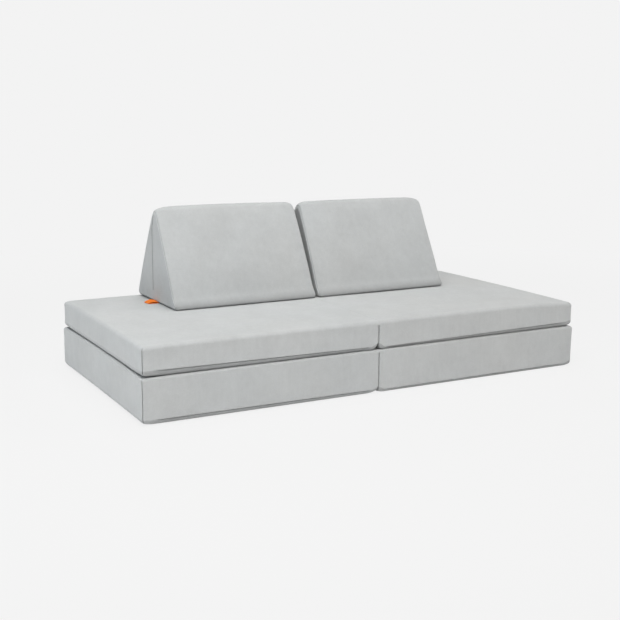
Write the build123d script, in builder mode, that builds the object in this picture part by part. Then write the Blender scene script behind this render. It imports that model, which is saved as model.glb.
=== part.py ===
from build123d import *

import os

# A low play sofa of soft foam: a folding base, a folding seat cushion on top of it, and two wedge pillows.
# X runs along the sofa, +X to the right, the front is at -Y, +Z is up, and Z = 0 is the floor.
# The origin is on the floor, under the middle of the sofa. Sizes are in millimetres.

# Overall sizes of the two folding cushions
base_length = 1676
base_depth = 838
base_height = 151
seat_inset = 4
seat_height = 97

# Wedge pillows
pillow_length = 553
pillow_depth = 385
pillow_height = 339
ridge_width = 22
pillow_gap = 21
pillow_shift = 13.5

# Shape of the folding cushions' covers
side_draw = 3
base_crown = 2.5
seat_crown = 3
top_edge_radius = 12
bottom_edge_radius = 18
fold_slit = 3

# Shape of the pillows' covers
pillow_end_draw = 3
pillow_face_crown = 5
pillow_foot_radius = 14
pillow_edge_radius = 7
ridge_radius = 9
ridge_corner_radius = 46
ridge_rise = 0.6

# Cover walls and the foam inside them
cover_wall = 3.2
foam_edge_radius = 8
foam_clearance = 0.3

# Between one cushion and the next
stack_clearance = 0.3

# Stitched fabric hinge at each fold
crease_depth = 7
crease_clearance = 0.4
crease_end_margin = 16

# Zips
zip_length_share = 0.72
zip_height = 25
pillow_zip_start = 42
pillow_zip_length = 226
pillow_zip_shift = 22
tape_width = 9
tape_thickness = 0.8
coil_width = 3
coil_height = 1.2
zip_recess = 1.4
zip_clearance = 0.3
end_stop = 4

# Zip sliders and their pulls
slider_length = 12
slider_width = 8
slider_plate = 0.9
arch_length = 8
arch_width = 1.8
arch_leg = 1.8
arch_window = 1.3
arch_beam = 0.6
pull_length = 22
pull_width = 6
pull_thickness = 0.7
pull_bar = 1.6
pull_corner_radius = 2

# Fabric tag on the left pillow
tag_reach = 44
tag_width = 36
tag_thickness = 1.2
tag_corner_radius = 3

# How far a cutting shape runs past what it cuts
overrun = 20

sides = {"left": -1, "right": 1}

# Heights and places worked out from the sizes above
seat_bottom = base_height + stack_clearance
seat_top = seat_bottom + seat_height
seat_length = base_length - 2 * seat_inset
seat_depth = base_depth - 2 * seat_inset
pillow_bottom = seat_top + stack_clearance
pillow_middle_y = seat_depth / 2 - pillow_depth / 2
cavity_skin = cover_wall + side_draw
foam_skin = cavity_skin + foam_clearance

os.makedirs("parts", exist_ok=True)


def save(builder, name):
    """Label a finished sub-part and write it under its own name."""
    builder.part.label = name
    export_step(builder.part, f"parts/{name}.step")


def cushion_half(side, length, depth, bottom, height, crown):
    """The outside of one half of a folding cushion: crowned on top, sides drawn in between its corners."""
    fold_x = side * fold_slit / 2
    end_x = side * length / 2
    middle_x = (fold_x + end_x) / 2
    front_y = -depth / 2
    back_y = depth / 2
    edge_z = bottom + height - crown
    with BuildPart() as form:
        with BuildSketch(Plane.XY.offset(bottom)):
            with BuildLine():
                ThreePointArc((fold_x, front_y), (middle_x, front_y + side_draw), (end_x, front_y))
                ThreePointArc((end_x, front_y), (end_x - side * side_draw, 0), (end_x, back_y))
                ThreePointArc((end_x, back_y), (middle_x, back_y - side_draw), (fold_x, back_y))
                Line((fold_x, back_y), (fold_x, front_y))
            make_face()
        extrude(amount=height + overrun)
        with BuildSketch(Plane.YZ.offset(middle_x)):
            with BuildLine():
                Polyline(
                    (front_y - overrun, edge_z),
                    (front_y - overrun, bottom),
                    (back_y + overrun, bottom),
                    (back_y + overrun, edge_z),
                    (back_y, edge_z),
                )
                ThreePointArc((back_y, edge_z), (0, bottom + height), (front_y, edge_z))
                Line((front_y, edge_z), (front_y - overrun, edge_z))
            make_face()
        extrude(amount=length / 2, both=True, mode=Mode.INTERSECT)
        top_edges = form.faces().sort_by(Axis.Z)[-1].edges()
        fold_edge = top_edges.sort_by(Axis.X)[-1 if side < 0 else 0]
        fillet(top_edges - [fold_edge], top_edge_radius)
        fillet(form.faces().sort_by(Axis.Z)[0].edges(), bottom_edge_radius)
    return form.part


def foam_block(side, length, depth, bottom, height, crown, skin):
    """A plain foam block with eased edges, held back from a cushion half by a skin on every face."""
    fold_x = side * (fold_slit / 2 + skin)
    end_x = side * (length / 2 - skin)
    low = bottom + skin
    high = bottom + height - crown - skin
    with BuildPart() as block:
        with BuildSketch(Plane.XY.offset(low)):
            with Locations(((fold_x + end_x) / 2, 0)):
                Rectangle(abs(end_x - fold_x), depth - 2 * skin)
        extrude(amount=high - low)
        fillet(block.edges(), foam_edge_radius)
    return block.part


def wedge(outer_start_x, outer_end_x, skin):
    """A wedge pillow held back by a skin on every face: swelling slopes, a narrow ridge, drawn-in ends."""
    start_x = outer_start_x + skin
    end_x = outer_end_x - skin
    drawn_start_x = start_x + pillow_end_draw
    drawn_end_x = end_x - pillow_end_draw
    front_y = pillow_middle_y - pillow_depth / 2 + skin
    back_y = pillow_middle_y + pillow_depth / 2 - skin
    low = pillow_bottom + skin
    high = pillow_bottom + pillow_height - skin
    ridge_front_y = pillow_middle_y - ridge_width / 2
    ridge_back_y = pillow_middle_y + ridge_width / 2
    slope = Vector(ridge_front_y - front_y, high - low)
    swell = Vector(-slope.Y, slope.X).normalized() * pillow_face_crown
    middle_x = (start_x + end_x) / 2
    front_swell = ((front_y + ridge_front_y) / 2 + swell.X, (low + high) / 2 + swell.Y)
    back_swell = ((back_y + ridge_back_y) / 2 - swell.X, (low + high) / 2 + swell.Y)
    corner = ridge_corner_radius - skin
    shoulder_z = high + ridge_rise - corner
    with BuildPart() as form:
        with BuildSketch(Plane.YZ.offset(middle_x)):
            with BuildLine():
                Line((front_y, low), (back_y, low))
                ThreePointArc((back_y, low), back_swell, (ridge_back_y, high))
                Line((ridge_back_y, high), (ridge_front_y, high))
                ThreePointArc((ridge_front_y, high), front_swell, (front_y, low))
            section = make_face()
            fillet(section.vertices().group_by(Axis.Y)[0], pillow_foot_radius - skin)
            fillet(section.vertices().group_by(Axis.Y)[-1], ridge_radius - skin)
        extrude(amount=(end_x - start_x) / 2 + overrun, both=True)
        with BuildSketch(Plane.XY.offset(low - overrun)):
            with BuildLine():
                Line((start_x, back_y + overrun), (start_x, back_y))
                ThreePointArc((start_x, back_y), (drawn_start_x, pillow_middle_y), (start_x, front_y))
                Polyline(
                    (start_x, front_y),
                    (start_x, front_y - overrun),
                    (end_x, front_y - overrun),
                    (end_x, front_y),
                )
                ThreePointArc((end_x, front_y), (drawn_end_x, pillow_middle_y), (end_x, back_y))
                Polyline((end_x, back_y), (end_x, back_y + overrun), (start_x, back_y + overrun))
            make_face()
        extrude(amount=high - low + 2 * overrun, mode=Mode.INTERSECT)
        with BuildSketch(Plane.XZ.offset(-pillow_middle_y)):
            with BuildLine():
                Polyline(
                    (start_x - overrun, shoulder_z),
                    (start_x - overrun, low - overrun),
                    (end_x + overrun, low - overrun),
                    (end_x + overrun, shoulder_z),
                    (end_x, shoulder_z),
                )
                RadiusArc((end_x, shoulder_z), (end_x - corner, shoulder_z + corner), -corner)
                Line((end_x - corner, shoulder_z + corner), (start_x + corner, shoulder_z + corner))
                RadiusArc((start_x + corner, shoulder_z + corner), (start_x, shoulder_z), -corner)
                Line((start_x, shoulder_z), (start_x - overrun, shoulder_z))
            make_face()
        extrude(amount=pillow_depth, both=True, mode=Mode.INTERSECT)
    return form.part


def zip_recess_in(seat, length):
    """The slot that a zip lies in, open to the outside; seat is the plane of the tape's back."""
    with BuildPart() as slot:
        with BuildSketch(seat.offset(-zip_clearance)):
            Rectangle(length + 2 * zip_clearance, tape_width + 2 * zip_clearance)
        extrude(amount=zip_clearance + overrun)
    return slot.part


def make_zip(name, seat, length):
    """Tape with its coil, slider and pull of one zip, closed; X of the seat plane is the way it opens."""
    tape_face = seat.offset(tape_thickness)
    slider_foot = tape_face.offset(zip_clearance)
    slider_top = slider_foot.offset(coil_height + slider_plate)
    slider_x = -length / 2 + end_stop + slider_length / 2
    leg_x = (arch_length - arch_leg) / 2

    with BuildPart() as tape:
        with BuildSketch(seat):
            Rectangle(length, tape_width)
        extrude(amount=tape_thickness)
        with BuildSketch(tape_face):
            Rectangle(length - 2 * end_stop, coil_width)
        extrude(amount=coil_height)
    save(tape, f"{name}_zip")

    with BuildPart() as slider:
        with BuildSketch(slider_foot):
            with Locations((slider_x, 0)):
                Rectangle(slider_length, slider_width)
        extrude(amount=coil_height + slider_plate)
        with BuildSketch(slider_foot):
            with Locations((slider_x, 0)):
                Rectangle(slider_length, coil_width + 2 * zip_clearance)
        extrude(amount=coil_height, mode=Mode.SUBTRACT)
        with BuildSketch(slider_top):
            with Locations((slider_x - leg_x, 0), (slider_x + leg_x, 0)):
                Rectangle(arch_leg, arch_width)
        extrude(amount=arch_window)
        with BuildSketch(slider_top.offset(arch_window)):
            with Locations((slider_x, 0)):
                Rectangle(arch_length, arch_width)
        extrude(amount=arch_beam)
    save(slider, f"{name}_slider")

    eye_length = leg_x + arch_leg / 2 + zip_clearance - pull_bar / 2
    with BuildPart() as pull:
        with BuildSketch(slider_top.offset((arch_window - pull_thickness) / 2)):
            with Locations((slider_x - pull_bar / 2, 0)):
                plate = Rectangle(pull_length, pull_width, align=(Align.MIN, Align.CENTER))
            fillet(plate.vertices(), pull_corner_radius)
            with Locations((slider_x + pull_bar / 2, 0)):
                Rectangle(
                    eye_length,
                    arch_width + 2 * zip_clearance,
                    align=(Align.MIN, Align.CENTER),
                    mode=Mode.SUBTRACT,
                )
        extrude(amount=pull_thickness)
    save(pull, f"{name}_pull")


def make_folding_cushion(name, length, depth, bottom, height, crown):
    """Covers, foam blocks and zips of both halves of a folding cushion, and the hinge between them."""
    zip_length = length / 2 * zip_length_share
    zip_y = -depth / 2 + side_draw + zip_recess + tape_thickness
    for hand, side in sides.items():
        zip_origin = (side * (fold_slit + length) / 4, zip_y, bottom + zip_height)
        zip_seat = Plane(origin=zip_origin, x_dir=(side, 0, 0), z_dir=(0, -1, 0))
        with BuildPart() as cover:
            add(cushion_half(side, length, depth, bottom, height, crown))
            add(foam_block(side, length, depth, bottom, height, crown, cavity_skin), mode=Mode.SUBTRACT)
            add(zip_recess_in(zip_seat, zip_length), mode=Mode.SUBTRACT)
        save(cover, f"{name}_{hand}_cover")

        with BuildPart() as foam:
            add(foam_block(side, length, depth, bottom, height, crown, foam_skin))
        save(foam, f"{name}_{hand}_foam")

        make_zip(f"{name}_{hand}", zip_seat, zip_length)

    with BuildPart() as crease:
        with BuildSketch(Plane.XY.offset(bottom + height - crown - crease_depth)):
            Rectangle(fold_slit - 2 * crease_clearance, depth - 2 * crease_end_margin)
        extrude(amount=crease_depth - crease_clearance)
    save(crease, f"{name}_crease")


make_folding_cushion("base", base_length, base_depth, 0, base_height, base_crown)
make_folding_cushion("seat", seat_length, seat_depth, seat_bottom, seat_height, seat_crown)

for hand, side in sides.items():
    near_x = pillow_shift + side * pillow_gap / 2
    far_x = near_x + side * pillow_length
    start_x, end_x = min(near_x, far_x), max(near_x, far_x)
    zip_x = far_x - side * (pillow_end_draw + zip_recess + tape_thickness)
    zip_z = pillow_bottom + pillow_zip_start + pillow_zip_length / 2
    zip_origin = (zip_x, pillow_middle_y + pillow_zip_shift, zip_z)
    zip_seat = Plane(origin=zip_origin, x_dir=(0, 0, 1), z_dir=(side, 0, 0))

    with BuildPart() as pillow_cover:
        add(wedge(start_x, end_x, 0))
        fillet(pillow_cover.faces().sort_by(Axis.X)[0].edges(), pillow_edge_radius)
        fillet(pillow_cover.faces().sort_by(Axis.X)[-1].edges(), pillow_edge_radius)
        add(wedge(start_x, end_x, cover_wall), mode=Mode.SUBTRACT)
        add(zip_recess_in(zip_seat, pillow_zip_length), mode=Mode.SUBTRACT)
    save(pillow_cover, f"pillow_{hand}_cover")

    with BuildPart() as pillow_foam:
        add(wedge(start_x, end_x, cover_wall + foam_clearance))
    save(pillow_foam, f"pillow_{hand}_foam")

    make_zip(f"pillow_{hand}", zip_seat, pillow_zip_length)

# The tag lies on the seat and its root runs in under the pillow's rounded end seam
tag_root_x = pillow_shift - pillow_gap / 2 - pillow_length + pillow_end_draw + pillow_edge_radius / 2
tag_front_y = pillow_middle_y - tag_width / 2
seat_fall = seat_crown * (tag_front_y / (seat_depth / 2)) ** 2
with BuildPart() as tag:
    with BuildSketch(Plane.XY.offset(seat_top - seat_fall + stack_clearance)):
        with Locations((tag_root_x, pillow_middle_y)):
            outline = Rectangle(tag_reach, tag_width, align=(Align.MAX, Align.CENTER))
        fillet(outline.vertices().group_by(Axis.X)[0], tag_corner_radius)
    extrude(amount=tag_thickness)
save(tag, "pillow_left_tag")
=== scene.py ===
"""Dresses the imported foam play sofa: covers, zips, tag, fabric, studio and camera."""

import math

import bpy
import numpy as np
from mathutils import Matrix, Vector
from mathutils.kdtree import KDTree


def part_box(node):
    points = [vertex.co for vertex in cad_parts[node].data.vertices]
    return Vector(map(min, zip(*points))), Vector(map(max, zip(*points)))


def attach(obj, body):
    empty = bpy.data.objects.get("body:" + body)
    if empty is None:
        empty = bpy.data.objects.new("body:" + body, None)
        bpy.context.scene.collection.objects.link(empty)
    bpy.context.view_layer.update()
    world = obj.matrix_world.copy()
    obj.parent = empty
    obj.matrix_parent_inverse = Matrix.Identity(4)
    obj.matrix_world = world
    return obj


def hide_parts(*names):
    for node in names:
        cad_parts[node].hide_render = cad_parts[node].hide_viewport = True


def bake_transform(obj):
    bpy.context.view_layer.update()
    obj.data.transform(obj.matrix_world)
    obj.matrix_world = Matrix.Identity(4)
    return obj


bl_info = {
    "name": "Foam Play Sofa",
    "version": (1, 0, 0),
    "blender": (4, 5, 0),
    "location": "View3D > Sidebar > Play Sofa",
    "description": "Covers, zips, tag and fabric of a folding foam play sofa around its packed frame",
    "category": "Add Mesh",
}

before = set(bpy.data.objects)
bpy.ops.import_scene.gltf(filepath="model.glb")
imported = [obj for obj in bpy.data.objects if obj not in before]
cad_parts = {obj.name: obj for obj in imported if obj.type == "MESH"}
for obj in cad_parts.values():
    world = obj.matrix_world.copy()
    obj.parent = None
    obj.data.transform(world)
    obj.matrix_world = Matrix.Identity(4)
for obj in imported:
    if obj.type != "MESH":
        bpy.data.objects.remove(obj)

HANDS = {"left": -1, "right": 1}
CUSHIONS = ("base", "seat")
ZIPS = [(cushion, hand) for cushion in (*CUSHIONS, "pillow") for hand in HANDS]
# Mesh layer of how dark each point is: its seams, and painted shade where the covers turn under, meet what
# lies beneath and face a gap
SEAM_AND_SHADE_LAYER = "seam_depth"


def corners_of(node):
    """Lowest and highest corner of a CAD node as arrays."""
    low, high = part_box(node)
    return np.array(low, float), np.array(high, float)


# Sizes, colours and studio settings

class CoverSizes(bpy.types.PropertyGroup):
    """Shape of the folding cushions' covers."""

    top_radius: bpy.props.FloatProperty(
        name="Seat top edge radius", description="How round the seat's top panel turns over the sides",
        default=0.013, min=0.002, unit="LENGTH")
    base_top_radius: bpy.props.FloatProperty(
        name="Base top edge radius", description="How round the base's top panel turns over the sides",
        default=0.008, min=0.002, unit="LENGTH")
    bottom_radius: bpy.props.FloatProperty(
        name="Bottom edge radius", description="How round the sides turn in under the cushion",
        default=0.022, min=0.002, unit="LENGTH")
    corner_radius: bpy.props.FloatProperty(
        name="Corner radius", description="How round the upright sewn corners are",
        default=0.007, min=0.001, unit="LENGTH")
    slit_radius: bpy.props.FloatProperty(
        name="Slit edge radius", description="How round the upright edges beside the slit are",
        default=0.005, min=0.001, unit="LENGTH")
    slit_foot_radius: bpy.props.FloatProperty(
        name="Slit foot radius", description="How far the slit opens towards the cushion's underside",
        default=0.034, min=0.002, unit="LENGTH")
    side_draw: bpy.props.FloatProperty(
        name="Side draw", description="How far the sides pull in between their corners",
        default=0.0025, min=0.0, unit="LENGTH")
    crown: bpy.props.FloatProperty(
        name="Crown", description="How far the top falls from its middle to its edges",
        default=0.003, min=0.0, unit="LENGTH")
    seam_depth: bpy.props.FloatProperty(
        name="Seam depth", description="How deep the sewn corners sink",
        default=0.0050, min=0.0, unit="LENGTH")
    ripple: bpy.props.FloatProperty(
        name="Ripple", description="Height of the slow unevenness of the cover over its foam",
        default=0.0009, min=0.0, unit="LENGTH")
    grid: bpy.props.FloatProperty(
        name="Grid", description="Spacing of the mesh on the large flat panels",
        default=0.011, min=0.003, unit="LENGTH")


class PillowSizes(bpy.types.PropertyGroup):
    """Shape of the wedge pillows."""

    ridge_width: bpy.props.FloatProperty(
        name="Ridge width", description="Width of the wedge's top before it is rounded",
        default=0.022, min=0.004, unit="LENGTH")
    ridge_radius: bpy.props.FloatProperty(
        name="Ridge radius", description="How round the ridge is",
        default=0.012, min=0.002, unit="LENGTH")
    ridge_fall: bpy.props.FloatProperty(
        name="Ridge fall", description="How far the ridge falls from its middle to its ends",
        default=0.005, min=0.0, unit="LENGTH")
    foot_radius: bpy.props.FloatProperty(
        name="Foot radius", description="How round the slopes turn in under the pillow",
        default=0.022, min=0.002, unit="LENGTH")
    end_radius: bpy.props.FloatProperty(
        name="End seam radius", description="How round the slopes turn over the end panels",
        default=0.008, min=0.001, unit="LENGTH")
    swell: bpy.props.FloatProperty(
        name="Swell", description="How far the slopes stand out in their middle",
        default=0.0020, min=0.0, unit="LENGTH")
    seam_depth: bpy.props.FloatProperty(
        name="Seam depth", description="How deep the sewn edges of the ends sink",
        default=0.0016, min=0.0, unit="LENGTH")
    end_draw: bpy.props.FloatProperty(
        name="End draw", description="How far the end panels sink in their middle",
        default=0.0022, min=0.0, unit="LENGTH")
    pucker: bpy.props.FloatProperty(
        name="Pucker", description="Height of the small gathers along the end seams",
        default=0.0021, min=0.0, unit="LENGTH")
    grid: bpy.props.FloatProperty(
        name="Grid", description="Spacing of the mesh on the slopes",
        default=0.0055, min=0.002, unit="LENGTH")


class FabricLook(bpy.types.PropertyGroup):
    """Colours of the fabrics and the zip."""

    cover: bpy.props.FloatVectorProperty(
        name="Cover", description="Colour of the brushed cover fabric",
        default=(0.543, 0.556, 0.558), subtype="COLOR", min=0.0, max=1.0)
    tag: bpy.props.FloatVectorProperty(
        name="Tag", description="Colour of the woven tag",
        default=(0.960, 0.215, 0.008), subtype="COLOR", min=0.0, max=1.0)
    tape: bpy.props.FloatVectorProperty(
        name="Zip tape", description="Colour of the zips' woven tape",
        default=(0.300, 0.315, 0.325), subtype="COLOR", min=0.0, max=1.0)
    metal: bpy.props.FloatVectorProperty(
        name="Zip slider", description="Colour of the lacquered sliders and pulls",
        default=(0.330, 0.345, 0.355), subtype="COLOR", min=0.0, max=1.0)


class StageLook(bpy.types.PropertyGroup):
    """Floor, light and camera."""

    floor: bpy.props.FloatVectorProperty(
        name="Floor", description="Colour that the floor and the backdrop show",
        default=(0.896, 0.896, 0.896), subtype="COLOR", min=0.0, max=1.0)
    azimuth: bpy.props.FloatProperty(
        name="Azimuth", description="Way the camera looks, from the left of the front if below zero",
        default=math.radians(-26.9), subtype="ANGLE")
    elevation: bpy.props.FloatProperty(
        name="Elevation", description="Height of the camera above the horizon, seen from the sofa",
        default=math.radians(11.32), subtype="ANGLE")
    distance: bpy.props.FloatProperty(
        name="Distance", description="From the camera to the point that it turns round",
        default=3.802, min=1.0, unit="LENGTH")
    aim_x: bpy.props.FloatProperty(
        name="Aim X", description="Place along the sofa that the camera turns round",
        default=-0.175, unit="LENGTH")
    aim_z: bpy.props.FloatProperty(
        name="Aim Z", description="Height that the camera turns round",
        default=0.2246, unit="LENGTH")
    focal_px: bpy.props.FloatProperty(
        name="Focal length in pixels", description="Focal length over the width of one pixel of the frame",
        default=1059.7, min=100.0)
    centre_px: bpy.props.FloatProperty(
        name="Centre column", description="Pixel column that the camera's axis meets",
        default=276.0)


# Points, grids and meshes

STEP_GROWTH = 1.38
FINE_SPAN = 0.45
WAVE_SPREAD = (0.7, 1.6)


def graded(low, high, first, last, coarse):
    """Grid lines from low to high whose steps grow from the first and last ones up to the coarse one."""
    def run(step):
        places = [0.0]
        while step < coarse and places[-1] + step < FINE_SPAN * (high - low):
            places.append(places[-1] + step)
            step *= STEP_GROWTH
        return np.array(places)

    near = low + run(first)
    far = high - run(last)[::-1]
    count = max(1, round((far[0] - near[-1]) / coarse))
    middle = np.linspace(near[-1], far[0], count + 1)[1:-1]
    return np.concatenate((near, middle, far))


def swing(points, wavelength, seed, waves=9):
    """Slow, even noise from -1 to 1 at each point, the same on every run."""
    draw = np.random.default_rng(seed)
    ways = draw.normal(size=(waves, 3))
    ways /= np.linalg.norm(ways, axis=1)[:, None]
    lengths = wavelength * draw.uniform(*WAVE_SPREAD, waves)
    turns = points.reshape(-1, 3) @ (ways * (2 * math.pi / lengths)[:, None]).T
    sums = np.sin(turns + draw.uniform(0, 2 * math.pi, waves)).sum(axis=1)
    return (sums / math.sqrt(waves * 2)).reshape(points.shape[:-1])


def smooth(values):
    """Values kept from 0 to 1, with eased ends."""
    share = np.clip(values, 0, 1)
    return share * share * (3 - 2 * share)


def window(values, low, high, ease):
    """1 between low and high, 0 outside, with eased ends inside the window."""
    return smooth(np.minimum(values - low, high - values) / ease)


def round_corners(x, y, box, radius_x, radius_y):
    """Points of a sharp rectangle moved onto one with round corners; box is its left, right, low, high."""
    left, right, low, high = box
    core_x = np.clip(x, left + radius_x, right - radius_x)
    core_y = np.clip(y, low + radius_y, high - radius_y)
    u = (x - core_x) / radius_x
    v = (y - core_y) / radius_y
    return core_x + radius_x * u * np.sqrt(1 - v * v / 2), core_y + radius_y * v * np.sqrt(1 - u * u / 2)


def edge_inset(depth, radius):
    """How far a rounded edge stands back at a depth below the face that it turns away from."""
    rest = np.clip(radius - depth, 0, radius)
    return radius - np.sqrt(np.maximum(radius * radius - rest * rest, 0))


def rim(columns, rows):
    """Grid places of a cap's rim, once round it."""
    front = [(i, 0) for i in range(columns)]
    far = [(columns - 1, j) for j in range(1, rows)]
    back = [(i, rows - 1) for i in range(columns - 2, -1, -1)]
    near = [(0, j) for j in range(rows - 2, 0, -1)]
    return np.array(front + far + back + near)


def closed_shell(name, first_cap, rings, last_cap, seams=None):
    """A closed mesh of two gridded caps joined by rings; each cap is columns by rows by 3."""
    columns, rows = first_cap.shape[:2]
    places = rim(columns, rows)
    count = len(places)
    grid_size = columns * rows
    last_start = grid_size + len(rings) * count
    points = np.concatenate([np.reshape(part, (-1, 3)) for part in (first_cap, rings, last_cap)])
    first_rim = places[:, 0] * rows + places[:, 1]
    loops = [first_rim]
    for level in range(len(rings)):
        loops.append(grid_size + level * count + np.arange(count))
    loops.append(last_start + first_rim)
    i, j = np.meshgrid(np.arange(columns - 1), np.arange(rows - 1), indexing="ij")
    corner = (i * rows + j).ravel()
    cap = np.stack((corner, corner + rows, corner + rows + 1, corner + 1), axis=1)
    faces = [cap, cap[:, ::-1] + last_start]
    for upper, lower in zip(loops[:-1], loops[1:]):
        faces.append(np.stack((upper, lower, np.roll(lower, -1), np.roll(upper, -1)), axis=1))
    thing = add_mesh(name, points, np.concatenate(faces))
    # The marks darken the fabric at its seams and with painted shade
    if seams is not None:
        mark_seams_and_painted_shade(thing, np.concatenate([np.ravel(part) for part in seams]))
    return thing


def flat_shell(name, first_cap, last_cap):
    """A closed mesh of two gridded caps that lie close to each other, joined at their rims."""
    count = len(rim(*first_cap.shape[:2]))
    return closed_shell(name, first_cap, np.zeros((0, count, 3)), last_cap)


def mark_seams_and_painted_shade(thing, darkness):
    """Keeps how dark each point is, from 0 to 1, for the fabric to darken there: its seams, and painted
    shade.
    """
    layer = thing.data.attributes.new(SEAM_AND_SHADE_LAYER, "FLOAT", "POINT")
    layer.data.foreach_set("value", np.clip(darkness, 0, 1).astype(np.float32))


def add_mesh(name, points, faces):
    """A smooth-shaded mesh object of quads, with its faces turned outwards."""
    mesh = bpy.data.meshes.new(name)
    corners = np.asarray(points, float)
    faces = np.asarray(faces)
    mesh.from_pydata(corners.tolist(), [], faces.tolist())
    mesh.validate()
    first, second, third = (corners[faces[:, k]] for k in range(3))
    middle = corners.mean(axis=0)
    volume = np.einsum("ij,ij->i", first - middle, np.cross(second - middle, third - middle)).sum()
    if volume < 0:
        mesh.flip_normals()
    mesh.polygons.foreach_set("use_smooth", [True] * len(mesh.polygons))
    thing = bpy.data.objects.new(name, mesh)
    bpy.context.scene.collection.objects.link(thing)
    return thing


def finish_piece(thing, material, body, replaced=()):
    """Gives a piece its material and body, and hides the CAD nodes that it stands for."""
    thing.data.materials.clear()
    thing.data.materials.append(material)
    if body:
        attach(thing, body)
    if replaced:
        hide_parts(*replaced)
    return thing


# Fabrics, nylon and metal

def group_with(name, inputs, outputs):
    """A shader node group with named value or vector sockets; gives it and its ends."""
    kinds = {"value": "NodeSocketFloat", "vector": "NodeSocketVector"}
    group = bpy.data.node_groups.new(name, "ShaderNodeTree")
    for label, kind, default in inputs:
        socket = group.interface.new_socket(label, in_out="INPUT", socket_type=kinds[kind])
        if default is not None:
            socket.default_value = default
    for label, kind in outputs:
        group.interface.new_socket(label, in_out="OUTPUT", socket_type=kinds[kind])
    return group, group.nodes.new("NodeGroupInput"), group.nodes.new("NodeGroupOutput")


def feed(tree, node, inputs):
    """Sets a node's inputs to constants, or links other nodes' outputs to them."""
    for label, value in inputs.items():
        if isinstance(value, bpy.types.NodeSocket):
            tree.links.new(value, node.inputs[label])
        else:
            node.inputs[label].default_value = value


def new_node(tree, kind, inputs, **fields):
    """A shader node with its own fields and its inputs."""
    node = tree.nodes.new(kind)
    for field, value in fields.items():
        setattr(node, field, value)
    feed(tree, node, inputs)
    return node


def combine(tree, operation, first, second):
    """A Math node of two outputs or numbers."""
    return new_node(tree, "ShaderNodeMath", {0: first, 1: second}, operation=operation).outputs[0]


def plus_share(tree, base, value, share):
    """A base plus a share of a value, each an output or a number."""
    return combine(tree, "ADD", base, combine(tree, "MULTIPLY", value, share))


def noise_in(tree, place, scale, detail, roughness=0.5):
    """Noise from 0 to 1, read at a place."""
    settings = {"Vector": place, "Scale": scale, "Detail": detail, "Roughness": roughness}
    return new_node(tree, "ShaderNodeTexNoise", settings).outputs["Fac"]


def uneven(tree, place, **settings):
    """Noise about 0, read at a place."""
    return combine(tree, "SUBTRACT", noise_in(tree, place, **settings), 0.5)


def stretched(tree, place, scales):
    """A place with each axis scaled by itself."""
    return new_node(tree, "ShaderNodeMapping", {"Vector": place, "Scale": scales}).outputs["Vector"]


def shaded_colour(tree, colour, shade):
    """A colour made lighter or darker by a shade about 1."""
    return new_node(tree, "ShaderNodeVectorMath", {0: colour, "Scale": shade}, operation="SCALE").outputs[0]


STREAK_SCALES = (120.0, 120.0, 9.0)
FIBRE_SCALES = (900.0, 900.0, 520.0)
PATCHES_IN_MOTTLE = 0.7
PATCHES_IN_HEIGHT = 0.6
CROSSINGS_IN_HEIGHT = 0.4


def brushed_nap():
    """Mottle, soft streaks and fine fibres of a brushed fabric, as a shade about 1 and a height."""
    known = bpy.data.node_groups.get("Brushed nap")
    if known:
        return known
    group, given, out = group_with(
        "Brushed nap",
        [("Place", "vector", None), ("Mottle", "value", 0.17), ("Streaks", "value", 0.065),
         ("Grain", "value", 0.12), ("Fibres", "value", 0.20)],
        [("Shade", "value"), ("Height", "value")])
    place = given.outputs["Place"]
    mottle = uneven(group, place, scale=9.0, detail=3.0, roughness=0.55)
    patches = uneven(group, place, scale=46.0, detail=3.0, roughness=0.6)
    streaks = uneven(group, stretched(group, place, STREAK_SCALES), scale=1.0, detail=2.0)
    grain = uneven(group, place, scale=250.0, detail=2.0, roughness=0.6)
    fibres = uneven(group, stretched(group, place, FIBRE_SCALES), scale=1.0, detail=4.0, roughness=0.65)
    both = plus_share(group, mottle, patches, PATCHES_IN_MOTTLE)
    shade = 1.0
    for label, values in (("Mottle", both), ("Streaks", streaks), ("Grain", grain), ("Fibres", fibres)):
        shade = plus_share(group, shade, values, given.outputs[label])
    feed(group, out, {"Shade": shade, "Height": plus_share(group, fibres, patches, PATCHES_IN_HEIGHT)})
    return group


def woven_threads():
    """Over and under of a plain weave, as a shade about 1 and a height."""
    known = bpy.data.node_groups.get("Woven threads")
    if known:
        return known
    group, given, out = group_with(
        "Woven threads",
        [("Place", "vector", None), ("Threads per metre", "value", 1400.0), ("Depth", "value", 0.2)],
        [("Shade", "value"), ("Height", "value")])
    place = given.outputs["Place"]
    split = new_node(group, "ShaderNodeSeparateXYZ", {0: place})
    turns = combine(group, "MULTIPLY", given.outputs["Threads per metre"], 2 * math.pi)
    waves = []
    for axis in "XYZ":
        along = combine(group, "MULTIPLY", split.outputs[axis], turns)
        waves.append(combine(group, "SINE", along, 0.0))
    crossings = combine(group, "MULTIPLY", waves[0], waves[1])
    crossings = plus_share(group, crossings, waves[1], waves[2])
    crossings = plus_share(group, crossings, waves[0], waves[2])
    lint = uneven(group, place, scale=300.0, detail=3.0)
    height = combine(group, "ADD", combine(group, "MULTIPLY", crossings, CROSSINGS_IN_HEIGHT), lint)
    shade = plus_share(group, 1.0, height, given.outputs["Depth"])
    feed(group, out, {"Shade": shade, "Height": height})
    return group


def new_material(name, **settings):
    """A material and its Principled BSDF's settings; gives it, its tree, its shader and object places."""
    material = bpy.data.materials.new(name)
    material.use_nodes = True
    tree = material.node_tree
    shader = tree.nodes["Principled BSDF"]
    feed(tree, shader, {label.replace("_", " "): value for label, value in settings.items()})
    return material, tree, shader, new_node(tree, "ShaderNodeTexCoord", {}).outputs["Object"]


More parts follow.
